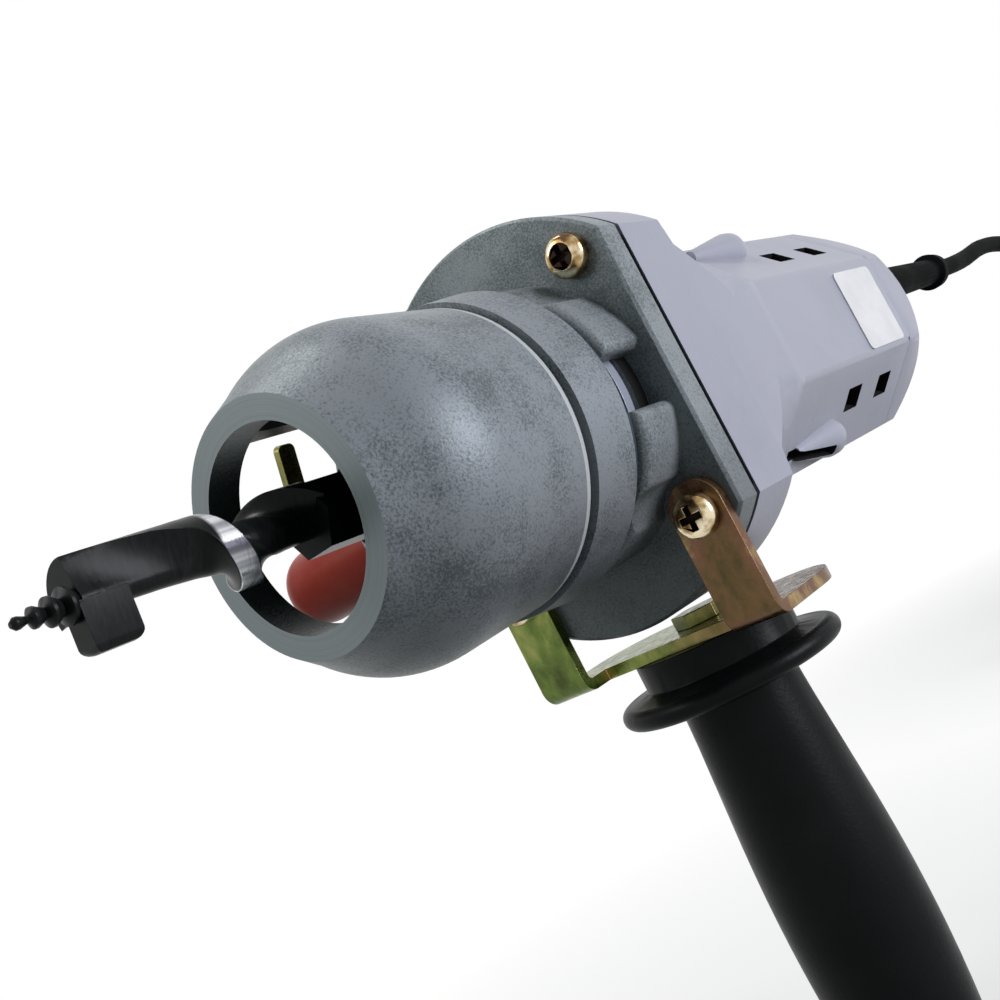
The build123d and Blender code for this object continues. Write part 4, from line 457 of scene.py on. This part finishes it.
# %% Yellow passivated zinc
def yellow_zinc(name, left_y, right_y):
    """Zinc with a chromate film: rose brown beyond left_y, green gold beyond right_y, straw in places."""
    material, tree, shader, place = start_finish(name, Metallic=0.85)
    bent = node(tree, "ShaderNodeMapping", Vector=place, Scale=(1.0, 1.0, 0.55))
    film = noise(tree, bent, scale=85, detail=5, roughness=0.62)
    rose = ramp(tree, film, (0.30, (0.060, 0.050, 0.018)), (0.44, (0.13, 0.078, 0.034)),
                (0.56, (0.17, 0.085, 0.050)), (0.66, (0.36, 0.26, 0.11)))
    green = ramp(tree, film, (0.30, (0.055, 0.075, 0.020)), (0.44, (0.12, 0.17, 0.038)),
                 (0.56, (0.24, 0.26, 0.075)), (0.66, (0.40, 0.30, 0.12)))
    side = mapped(tree, coordinate(tree, place, "Y"), right_y, left_y)
    tree.links.new(blended(tree, side, green, rose), shader.inputs["Base Color"])
    rub = noise(tree, place, scale=600, detail=4, roughness=0.6)
    tree.links.new(mapped(tree, rub, 0.3, 0.7, 0.20, 0.38), shader.inputs["Roughness"])
    bump(tree, shader, rub, depth=0.0001, strength=0.3)
    return material


def screw_zinc():
    """Bright pan heads: the film is worn to straw in some places and stays brown in others."""
    material, tree, shader, place = start_finish("screw_zinc", Metallic=0.9, Roughness=0.16)
    film = noise(tree, place, scale=240, detail=3, roughness=0.5)
    colour = ramp(tree, film, (0.36, (0.13, 0.075, 0.035)), (0.48, (0.40, 0.26, 0.11)),
                  (0.60, (0.82, 0.72, 0.50)))
    tree.links.new(colour, shader.inputs["Base Color"])
    return material


finish["yellow_zinc"] = yellow_zinc("yellow_zinc", left_y=0.020, right_y=-0.012)
straw_zinc = yellow_zinc("straw_zinc", left_y=0.030, right_y=-0.070)
pan_head_zinc = screw_zinc()
print("zinc", finish["yellow_zinc"].name, straw_zinc.name, pan_head_zinc.name)

# %% [markdown]
# ## Plastic and rubber
# The handle is grained black plastic, the side grip a smoother red one, and the cord and its boot are
# dull rubber. They differ in colour, gloss and grain alone, so one function makes them all: a fine bump
# for the mould's grain, and paler, smoother patches where hands have rubbed.

# %% Plastic and rubber
def moulded(name, colour, lift, roughness, grain_scale, grain_depth, gloss=0.07):
    """Moulded plastic or rubber: a grained surface with paler rubbed patches."""
    material, tree, shader, place = start_finish(name, Specular_IOR_Level=gloss)
    rub = noise(tree, place, scale=60, detail=5, roughness=0.6)
    tint = ramp(tree, rub, (0.40, colour), (0.75, [c + lift for c in colour]))
    tree.links.new(tint, shader.inputs["Base Color"])
    shine = mapped(tree, rub, 0.3, 0.75, roughness + 0.08, roughness - 0.06)
    tree.links.new(shine, shader.inputs["Roughness"])
    grain = noise(tree, place, grain_scale, detail=3, roughness=0.5)
    bump(tree, shader, grain, grain_depth, strength=0.6)
    return material


finish["black_handle"] = moulded("black_handle", (0.004, 0.005, 0.005), lift=0.004, roughness=0.34,
                                 grain_scale=900, grain_depth=0.0001)
finish["red_grip"] = moulded("red_grip", (0.38, 0.045, 0.028), lift=0.03, roughness=0.30,
                             grain_scale=500, grain_depth=0.00005)
finish["black_rubber"] = moulded("black_rubber", (0.002, 0.003, 0.003), lift=0.002, roughness=0.60,
                                 grain_scale=1200, grain_depth=0.00008, gloss=0.02)
finish["black_plastic"] = moulded("black_plastic", (0.007, 0.007, 0.008), lift=0.006, roughness=0.42,
                                  grain_scale=1000, grain_depth=0.00008)
finish["carbon"] = moulded("carbon", (0.020, 0.020, 0.020), lift=0.02, roughness=0.60,
                           grain_scale=2000, grain_depth=0.00006)
# Black painted shade, for faces that lie in shade inside the housing and between parts.
painted_shade_black = moulded("painted_shade_black", (0.010, 0.010, 0.010), lift=0.004, roughness=0.6,
                       grain_scale=800, grain_depth=0.0001)
# Dark brown painted shade for the screws' cross recesses.
recess_painted_shade = moulded("recess_painted_shade", (0.045, 0.026, 0.014), lift=0.02, roughness=0.4,
                       grain_scale=900, grain_depth=0.00005)
mains_cord.data.materials.append(finish["black_rubber"])
print("moulded", painted_shade_black.name, recess_painted_shade.name, "and five for slots")

# %% [markdown]
# ## Steel, bronze, copper and brass
# The turned metal pieces have fine streaks round the spindle line, from the lathe or the grinder. The
# same function makes them all, because only the colour, the shine and the fineness of the streaks differ.

# %% Turned metals
def steel(name, light, dark, roughness, metallic=1.0, scale=300):
    """Ground or oxidised metal with fine uneven streaks round the spindle line."""
    material, tree, shader, place = start_finish(name, Metallic=metallic)
    streak = streaks(tree, place, scale)
    tree.links.new(ramp(tree, streak, (0.35, dark), (0.70, light)), shader.inputs["Base Color"])
    shine = mapped(tree, streak, 0.3, 0.7, roughness + 0.08, roughness - 0.06)
    tree.links.new(shine, shader.inputs["Roughness"])
    bump(tree, shader, streak, depth=0.00008, strength=0.35)
    return material


finish["black_steel"] = steel("black_oxide", (0.026, 0.028, 0.028), (0.006, 0.007, 0.007),
                              roughness=0.32, metallic=0.7)
finish["bright_steel"] = steel("bright_steel", (0.66, 0.66, 0.65), (0.44, 0.44, 0.44), roughness=0.28)
finish["lamination"] = steel("lamination", (0.05, 0.05, 0.055), (0.02, 0.02, 0.022), roughness=0.5,
                             metallic=0.7, scale=900)
finish["bronze"] = steel("sintered_bronze", (0.52, 0.36, 0.20), (0.34, 0.22, 0.12), roughness=0.42)
finish["copper"] = steel("varnished_copper", (0.60, 0.27, 0.12), (0.34, 0.13, 0.05), roughness=0.36)
finish["plug_brass"] = steel("plated_brass", (0.74, 0.68, 0.50), (0.55, 0.48, 0.30), roughness=0.26)
print("finishes", sorted(finish))

# %% [markdown]
# ## Dress the CAD nodes
# A CAD solid has knife-sharp edges, and castings and mouldings don't. The nodes that show most get a copy
# of their mesh with the triangles merged back into whole faces, the corners broken by a small Bevel
# modifier and the curves shaded smooth. A few edges are rounder than a modifier with one width can make
# them: those beside the barrel's side flats and round the foot of the bit's cutter. They are bevelled in
# the mesh itself. Small screws and what is hidden inside keep their own mesh and only get a finish.

# %% Finish for every node
slot_of = {part["node"]: part["material_slot"] for part in frame["record"]["subparts"]}
body_of = {name: body for body, names in frame["record"]["behaviour"]["bodies"].items() for name in names}
for name, obj in frame["nodes"].items():
    obj.data.materials.clear()
    obj.data.materials.append(finish[slot_of[name]])

# %% Rounder edges
BARREL_FRONT_X = -0.040
BARREL_EDGE_Y, BARREL_EDGE_Z = 0.0355, 0.0135
BARREL_CREASE = 0.5
LYING_SHARE = 0.9
CUTTER_BACK_X, CUTTER_TOP_Z = 0.1455, -0.0075
CUTTER_CREASE = 1.0


def barrel_edge(edge):
    """True for the octagon edges beside the barrel's two side flats, on the housing and its cap."""
    ends = [vert.co for vert in edge.verts]
    lying = abs(ends[0].x - ends[1].x) > LYING_SHARE*edge.calc_length()
    beside = all(abs(end.y) > BARREL_EDGE_Y and abs(end.z) > BARREL_EDGE_Z for end in ends)
    return lying and beside and ends[0].x < BARREL_FRONT_X and edge.calc_face_angle(0) > BARREL_CREASE


def cutter_edge(edge):
    """True for the edges round the foot of the bit's cutter."""
    at_foot = all(vert.co.x > CUTTER_BACK_X and vert.co.z < CUTTER_TOP_Z for vert in edge.verts)
    return at_foot and edge.calc_face_angle(0) > CUTTER_CREASE


ROUND_EDGES = {
    "motor_housing": (barrel_edge, 0.0015),
    "end_cap": (barrel_edge, 0.0015),
    "drill_bit": (cutter_edge, 0.0012),
}
print("rounder edges on", sorted(ROUND_EDGES))

# %% Whole faces
MERGE_REACH = 2e-6
FLAT_ANGLE = radians(0.6)
CREASE_ANGLE = radians(28)


def whole_faced(name):
    """Copy of a CAD node's mesh with merged faces, its rounder edges and smooth shading."""
    mesh = frame["nodes"][name].data.copy()
    mesh.name = name + "_dressed"
    whole = bmesh.new()
    whole.from_mesh(mesh)
    bmesh.ops.remove_doubles(whole, verts=whole.verts, dist=MERGE_REACH)
    bmesh.ops.dissolve_limit(whole, angle_limit=FLAT_ANGLE, verts=whole.verts, edges=whole.edges)
    if name in ROUND_EDGES:
        chosen, width = ROUND_EDGES[name]
        rounder = [edge for edge in whole.edges if chosen(edge)]
        bmesh.ops.bevel(whole, geom=rounder, offset=width, segments=4, affect="EDGES", profile=0.5)
    for face in whole.faces:
        face.smooth = True
    whole.to_mesh(mesh)
    whole.free()
    mesh.set_sharp_from_angle(angle=CREASE_ANGLE)
    return mesh


print("faces merge within", MERGE_REACH, "m")

# %% Dressed copies
EDGE_WIDTHS = {
    "bell": 0.0006, "front_cover": 0.0007, "motor_housing": 0.0006, "end_cap": 0.0005,
    "handle_bracket": 0.0004, "flange_screws": 0.0002, "handle_bolt": 0.0004, "handle_grip": 0.0004,
    "side_grip": 0.0004, "chip_deflector": 0.0002, "chuck_body": 0.0002, "chuck_sleeve": 0.0002,
    "drill_bit": 0.0002, "cord_relief": 0.0003, "plug": 0.0006, "plug_pins": 0.0002,
    "switch_slider": 0.0003, "cord_tie": 0.0003,
}


def dressed(name, edge_width, material):
    """Dressed copy of a CAD node with broken edges, standing for that node."""
    mesh = whole_faced(name)
    mesh.materials.clear()
    mesh.materials.append(material)
    obj = bpy.data.objects.new(name + "_dressed", mesh)
    scene.collection.objects.link(obj)
    broken = obj.modifiers.new("broken_edge", "BEVEL")
    broken.width = edge_width
    broken.segments = 2
    broken.limit_method = "ANGLE"
    broken.angle_limit = CREASE_ANGLE
    broken.harden_normals = True
    broken.use_clamp_overlap = True
    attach(obj, body_of[name])
    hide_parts(name)
    return obj


own_finish = {"bell": bell_casting, "flange_screws": pan_head_zinc, "chip_deflector": straw_zinc}
dressed_nodes = {}
for name, edge_width in EDGE_WIDTHS.items():
    dressed_nodes[name] = dressed(name, edge_width, own_finish.get(name, finish[slot_of[name]]))
print("dressed", len(dressed_nodes), "nodes")

# %% [markdown]
# ## Faces with a finish of their own
# Some faces of a casting or housing differ from the rest: the turned nose and spigot are bright, and the
# spigot's root, the inside of the bell and the housing, the walls of the vents, the lower pockets and the
# screws' recesses are painted dark as shade. Painting a mask could mark them, but a short rule on a face's
# centre, its distance from the spindle line and its normal stays true when the mesh changes.

# %% Rules for the bell and the cover
nose_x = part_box("bell")[1][0]
NOSE_DEPTH = 0.0005
FORWARD_SHARE = 0.98
INWARD_SHARE = -0.3
SPIGOT_INNER_R, SPIGOT_OUTER_R = 0.0270, 0.0302
SPIGOT_ROOT_X, SPIGOT_BRIGHT_X = 0.0242, 0.0277


def outward(place, normal):
    """How far a normal points away from the spindle line, times the distance from it."""
    return normal.y*place.y + normal.z*place.z


def on_nose(place, radius, normal):
    """True on the bell's flat front face."""
    return normal.x > FORWARD_SHARE and place.x > nose_x - NOSE_DEPTH


def on_spigot(place, radius, normal):
    """True on the bright part of the cover's spigot."""
    return SPIGOT_INNER_R < radius < SPIGOT_OUTER_R and place.x > SPIGOT_BRIGHT_X


def at_spigot_root(place, radius, normal):
    """True on the part of the spigot next to the flange."""
    return SPIGOT_INNER_R < radius < SPIGOT_OUTER_R and SPIGOT_ROOT_X < place.x < SPIGOT_BRIGHT_X


def inside_bell(place, radius, normal):
    """True on the faces of the bell that look inwards."""
    return outward(place, normal) < INWARD_SHARE*radius


print("nose at", round(nose_x, 4))

# %% Rules for the housing and the screws
HOUSING_BORE_R, HOUSING_BORE_X = 0.0337, -0.0205
VENT_REAR_X, VENT_FRONT_X, VENT_OUTER_R = -0.119, -0.081, 0.0392
WALL_SHARE = 0.6
POCKET_REAR_X, POCKET_FRONT_X, POCKET_FLOOR_R = -0.0675, -0.0425, 0.033
POCKET_SLOPE = radians(57)
POCKET_HALF = 0.00165
SCREW_Y, SCREW_Z, SCREW_SEAT_X = 0.0292, 0.03275, 0.0255
RECESS_HALF, RECESS_REACH = 0.0008, 0.0029


def inside_housing(place, radius, normal):
    """True in the bore of the motor housing."""
    return radius < HOUSING_BORE_R and place.x < HOUSING_BORE_X


def on_vent_wall(place, radius, normal):
    """True on the walls of the housing's vents."""
    beside = VENT_REAR_X < place.x < VENT_FRONT_X and radius < VENT_OUTER_R
    return beside and abs(outward(place, normal)) < WALL_SHARE*radius


def in_lower_pocket(place, radius, normal):
    """True in the slots of the two lower bosses, which lie on a slope below the spindle line."""
    below = POCKET_REAR_X < place.x < POCKET_FRONT_X and place.z < 0 and radius > POCKET_FLOOR_R
    return below and abs(abs(place.y)*sin(POCKET_SLOPE) + place.z*cos(POCKET_SLOPE)) < POCKET_HALF


def in_recess(place, radius, normal):
    """True on the walls and floor of a flange screw's cross recess."""
    across, upright = abs(abs(place.y) - SCREW_Y), abs(abs(place.z) - SCREW_Z)
    slotted = min(across, upright) < RECESS_HALF and max(across, upright) < RECESS_REACH
    return slotted and place.x > SCREW_SEAT_X


print("vents from", VENT_REAR_X, "to", VENT_FRONT_X)

# %% Turned and dark faces
def refinish(name, material, chosen):
    """Gives a finish to the faces of a dressed node that a rule chooses by centre, radius and normal."""
    mesh = dressed_nodes[name].data
    mesh.materials.append(material)
    count = 0
    for face in mesh.polygons:
        if chosen(face.center, hypot(face.center.y, face.center.z), face.normal):
            face.material_index = len(mesh.materials) - 1
            count += 1
    print(name, material.name, "faces", count)


refinish("bell", nose_face, on_nose)
refinish("front_cover", spigot_face, on_spigot)
# The spigot's root, next to the flange, gets black painted shade.
refinish("front_cover", painted_shade_black, at_spigot_root)
# The inside of the bell gets the dark casting as painted shade.
refinish("bell", bell_inside_shade, inside_bell)
# The housing's bore, its vent walls and its lower pockets get black painted shade.
refinish("motor_housing", painted_shade_black, inside_housing)
refinish("motor_housing", painted_shade_black, on_vent_wall)
refinish("motor_housing", painted_shade_black, in_lower_pocket)
# The screws' recesses get dark brown painted shade.
refinish("flange_screws", recess_painted_shade, in_recess)

# %% [markdown]
# ## Worn auger
# The bit is black oxide that has worn to bright steel on a short stretch of its land, where it rubs the
# hole. The worn patch is a spiral band, which would be awkward to cut out as faces. In the material it is
# just the places that lie far from the spindle line and between two places along it. Light and dark bands
# by height across the worn steel are painted reflections.

# %% Worn auger
AUGER_RADIUS = 0.0076
WORN_FROM_X, WORN_TO_X = 0.1215, 0.1295
LAND_DEEP, LAND_SHALLOW = 0.0003, 0.0001
FADE_IN, FADE_OUT = 0.0005, 0.0004


def worn_auger(land_radius, worn_from, worn_to):
    """Black oxide worn bright on the land between two places along the bit, with painted reflections on
    it.
    """
    material, tree, shader, place = start_finish("worn_auger", Specular_IOR_Level=0.09)
    streak = streaks(tree, place, 260)
    oxide = ramp(tree, streak, (0.35, (0.004, 0.005, 0.005)), (0.72, (0.014, 0.017, 0.016)))
    # Painted reflections: light and dark bands by height across the worn steel.
    painted_reflection_bands = noise_along(tree, coordinate(tree, place, "Z"), scale=330.0, detail=2.0)
    bright = ramp(tree, painted_reflection_bands, (0.38, (0.10, 0.10, 0.12)), (0.50, (0.34, 0.35, 0.37)),
                  (0.62, (0.70, 0.71, 0.73)))
    along = coordinate(tree, place, "X")
    worn = mapped(tree, spindle_radius(tree, place), land_radius - LAND_DEEP, land_radius - LAND_SHALLOW)
    after = mapped(tree, along, worn_from - FADE_IN, worn_from + FADE_IN)
    before = mapped(tree, along, worn_to + FADE_OUT, worn_to - FADE_OUT)
    for share in (after, before):
        worn = arithmetic(tree, "MULTIPLY", worn, share)
    tree.links.new(blended(tree, worn, oxide, bright), shader.inputs["Base Color"])
    tree.links.new(mapped(tree, worn, 0.0, 1.0, 0.30, 0.18), shader.inputs["Roughness"])
    tree.links.new(mapped(tree, worn, 0.0, 1.0, 0.0, 0.9), shader.inputs["Metallic"])
    bump(tree, shader, streak, depth=0.00006, strength=0.3)
    return material


dressed_nodes["drill_bit"].data.materials[0] = worn_auger(AUGER_RADIUS, WORN_FROM_X, WORN_TO_X)
print("worn land between", WORN_FROM_X, "and", WORN_TO_X)

# %% [markdown]
# ## Label plate
# The motor's left flat carries a white plate with rounded corners. It is a cube moved to two corners, with
# its four short edges bevelled, which is simpler than a curve filled and thickened.

# %% Label plate
LABEL_LOW = (-0.1245, 0.0355, -0.0140)
LABEL_HIGH = (-0.0945, 0.0364, 0.0120)
LABEL_CORNER = 0.002
label_white, tree, shader, place = start_finish("label_white", Roughness=0.35, Specular_IOR_Level=0.3)
dirt = noise(tree, place, scale=90, detail=4, roughness=0.6)
dulled = ramp(tree, dirt, (0.35, (0.66, 0.655, 0.65)), (0.65, (0.74, 0.735, 0.73)))
tree.links.new(dulled, shader.inputs["Base Color"])
plate = bmesh.new()
bmesh.ops.create_cube(plate, size=1.0)
for vert in plate.verts:
    vert.co = [low + (co + 0.5)*(high - low) for co, low, high in zip(vert.co, LABEL_LOW, LABEL_HIGH)]
short_edges = [edge for edge in plate.edges if abs((edge.verts[0].co - edge.verts[1].co).y) > 1e-5]
bmesh.ops.bevel(plate, geom=short_edges, offset=LABEL_CORNER, segments=5, affect="EDGES", profile=0.5)
label_mesh = bpy.data.meshes.new("label_plate")
plate.to_mesh(label_mesh)
plate.free()
label_mesh.materials.append(label_white)
label_plate = bpy.data.objects.new("label_plate", label_mesh)
scene.collection.objects.link(label_plate)
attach(label_plate, "tool")
print("label plate", [round(1000*(high - low), 1) for low, high in zip(LABEL_LOW, LABEL_HIGH)], "mm")

# %% [markdown]
# ## Knurled sleeve and ribbed plug
# A chuck's sleeve is knurled so that a hand can turn it, and a plug has ribs so that a hand can pull it.
# Both are one small bar repeated, so Geometry Nodes make them: one tree sets bars round the spindle line,
# another in a row. Each result is turned into a plain mesh that rides on its own body.

# %% Geometry Nodes helpers
def repeat_tree(name, **sizes):
    """New Geometry Nodes tree with named inputs of the given kinds, and its input sockets by name."""
    tree = bpy.data.node_groups.new(name, "GeometryNodeTree")
    tree.interface.new_socket("Geometry", in_out="OUTPUT", socket_type="NodeSocketGeometry")
    for size, kind in sizes.items():
        tree.interface.new_socket(size, in_out="INPUT", socket_type="NodeSocket" + kind)
    group_in = tree.nodes.new("NodeGroupInput")
    return tree, {size: group_in.outputs[size] for size in sizes}


def finish_tree(tree, instances, material):
    """Ends a tree with Realize Instances and Set Material."""
    real = node(tree, "GeometryNodeRealizeInstances", Geometry=instances)
    dyed = node(tree, "GeometryNodeSetMaterial", Geometry=real, Material=material)
    group_out = tree.nodes.new("NodeGroupOutput")
    tree.links.new(dyed, group_out.inputs[0])


def grown(name, tree, values, body):
    """Plain mesh made by a tree with the given input values, riding on a body."""
    maker = bpy.data.objects.new(name + "_maker", bpy.data.meshes.new(name + "_maker"))
    scene.collection.objects.link(maker)
    modifier = maker.modifiers.new("repeat", "NODES")
    modifier.node_group = tree
    for item in tree.interface.items_tree:
        if item.in_out == "INPUT":
            modifier[item.identifier] = values[item.name]
    mesh = bpy.data.meshes.new_from_object(maker.evaluated_get(bpy.context.evaluated_depsgraph_get()))
    maker.modifiers.remove(modifier)
    bpy.data.objects.remove(maker)
    mesh.name = name
    piece = bpy.data.objects.new(name, mesh)
    scene.collection.objects.link(piece)
    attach(piece, body)
    print(name, "faces", len(mesh.polygons))
    return piece


print("repeat helpers ready")

# %% Knurl on the chuck's sleeve
tree, size = repeat_tree("sleeve_knurl", Count="Int", Radius="Float", Middle="Float", Length="Float",
                         Width="Float", Height="Float")
circle = node(tree, "GeometryNodeMeshCircle", Vertices=size["Count"], Radius=size["Radius"])
middle = node(tree, "ShaderNodeCombineXYZ", X=size["Middle"])
round_x = node(tree, "GeometryNodeTransform", Geometry=circle, Translation=middle,
               Rotation=(0.0, pi/2, 0.0))
position = node(tree, "GeometryNodeInputPosition")
away = node(tree, "ShaderNodeVectorMath", settings={"operation": "MULTIPLY"}, i0=position,
            i1=(0.0, 1.0, 1.0))
facing = node(tree, "FunctionNodeAlignRotationToVector", settings={"axis": "Z", "pivot_axis": "X"},
              Vector=away)
bar_size = node(tree, "ShaderNodeCombineXYZ", X=size["Length"], Y=size["Width"], Z=size["Height"])
bar = node(tree, "GeometryNodeMeshCube", Size=bar_size)
bars = node(tree, "GeometryNodeInstanceOnPoints", Points=round_x, Instance=bar, Rotation=facing)
finish_tree(tree, bars, finish[slot_of["chuck_sleeve"]])
KNURL_SETBACK = 0.001
sleeve_low, sleeve_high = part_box("chuck_sleeve")
grown("sleeve_knurl", tree, {
    "Count": 54, "Radius": 0.018, "Middle": (sleeve_low[0] + sleeve_high[0])/2 - KNURL_SETBACK,
    "Length": 0.016, "Width": 0.0011, "Height": 0.0008,
}, "sleeve")

# %% Ribs on the plug
RIB_SETBACK, RIB_PITCH, RIB_WIDTH = 0.020, 0.0034, 0.0014
RIB_STANDS_OUT, RIB_CUT_BACK = 0.0010, 0.006
tree, size = repeat_tree("plug_ribs", Count="Int", Start="Vector", Step="Vector", Bar="Vector")
row = node(tree, "GeometryNodeMeshLine", Count=size["Count"], Start_Location=size["Start"],
           Offset=size["Step"])
bar = node(tree, "GeometryNodeMeshCube", Size=size["Bar"])
bars = node(tree, "GeometryNodeInstanceOnPoints", Points=row, Instance=bar)
finish_tree(tree, bars, finish[slot_of["plug"]])
plug_low, plug_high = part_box("plug")
plug_wide, plug_tall = plug_high[1] - plug_low[1], plug_high[2] - plug_low[2]
ribs = grown("plug_ribs", tree, {
    "Count": 4,
    "Start": (plug_low[0] + RIB_SETBACK, (plug_low[1] + plug_high[1])/2, (plug_low[2] + plug_high[2])/2),
    "Step": (RIB_PITCH, 0.0, 0.0),
    "Bar": (RIB_WIDTH, plug_wide + RIB_STANDS_OUT, plug_tall - RIB_CUT_BACK),
}, "tool")
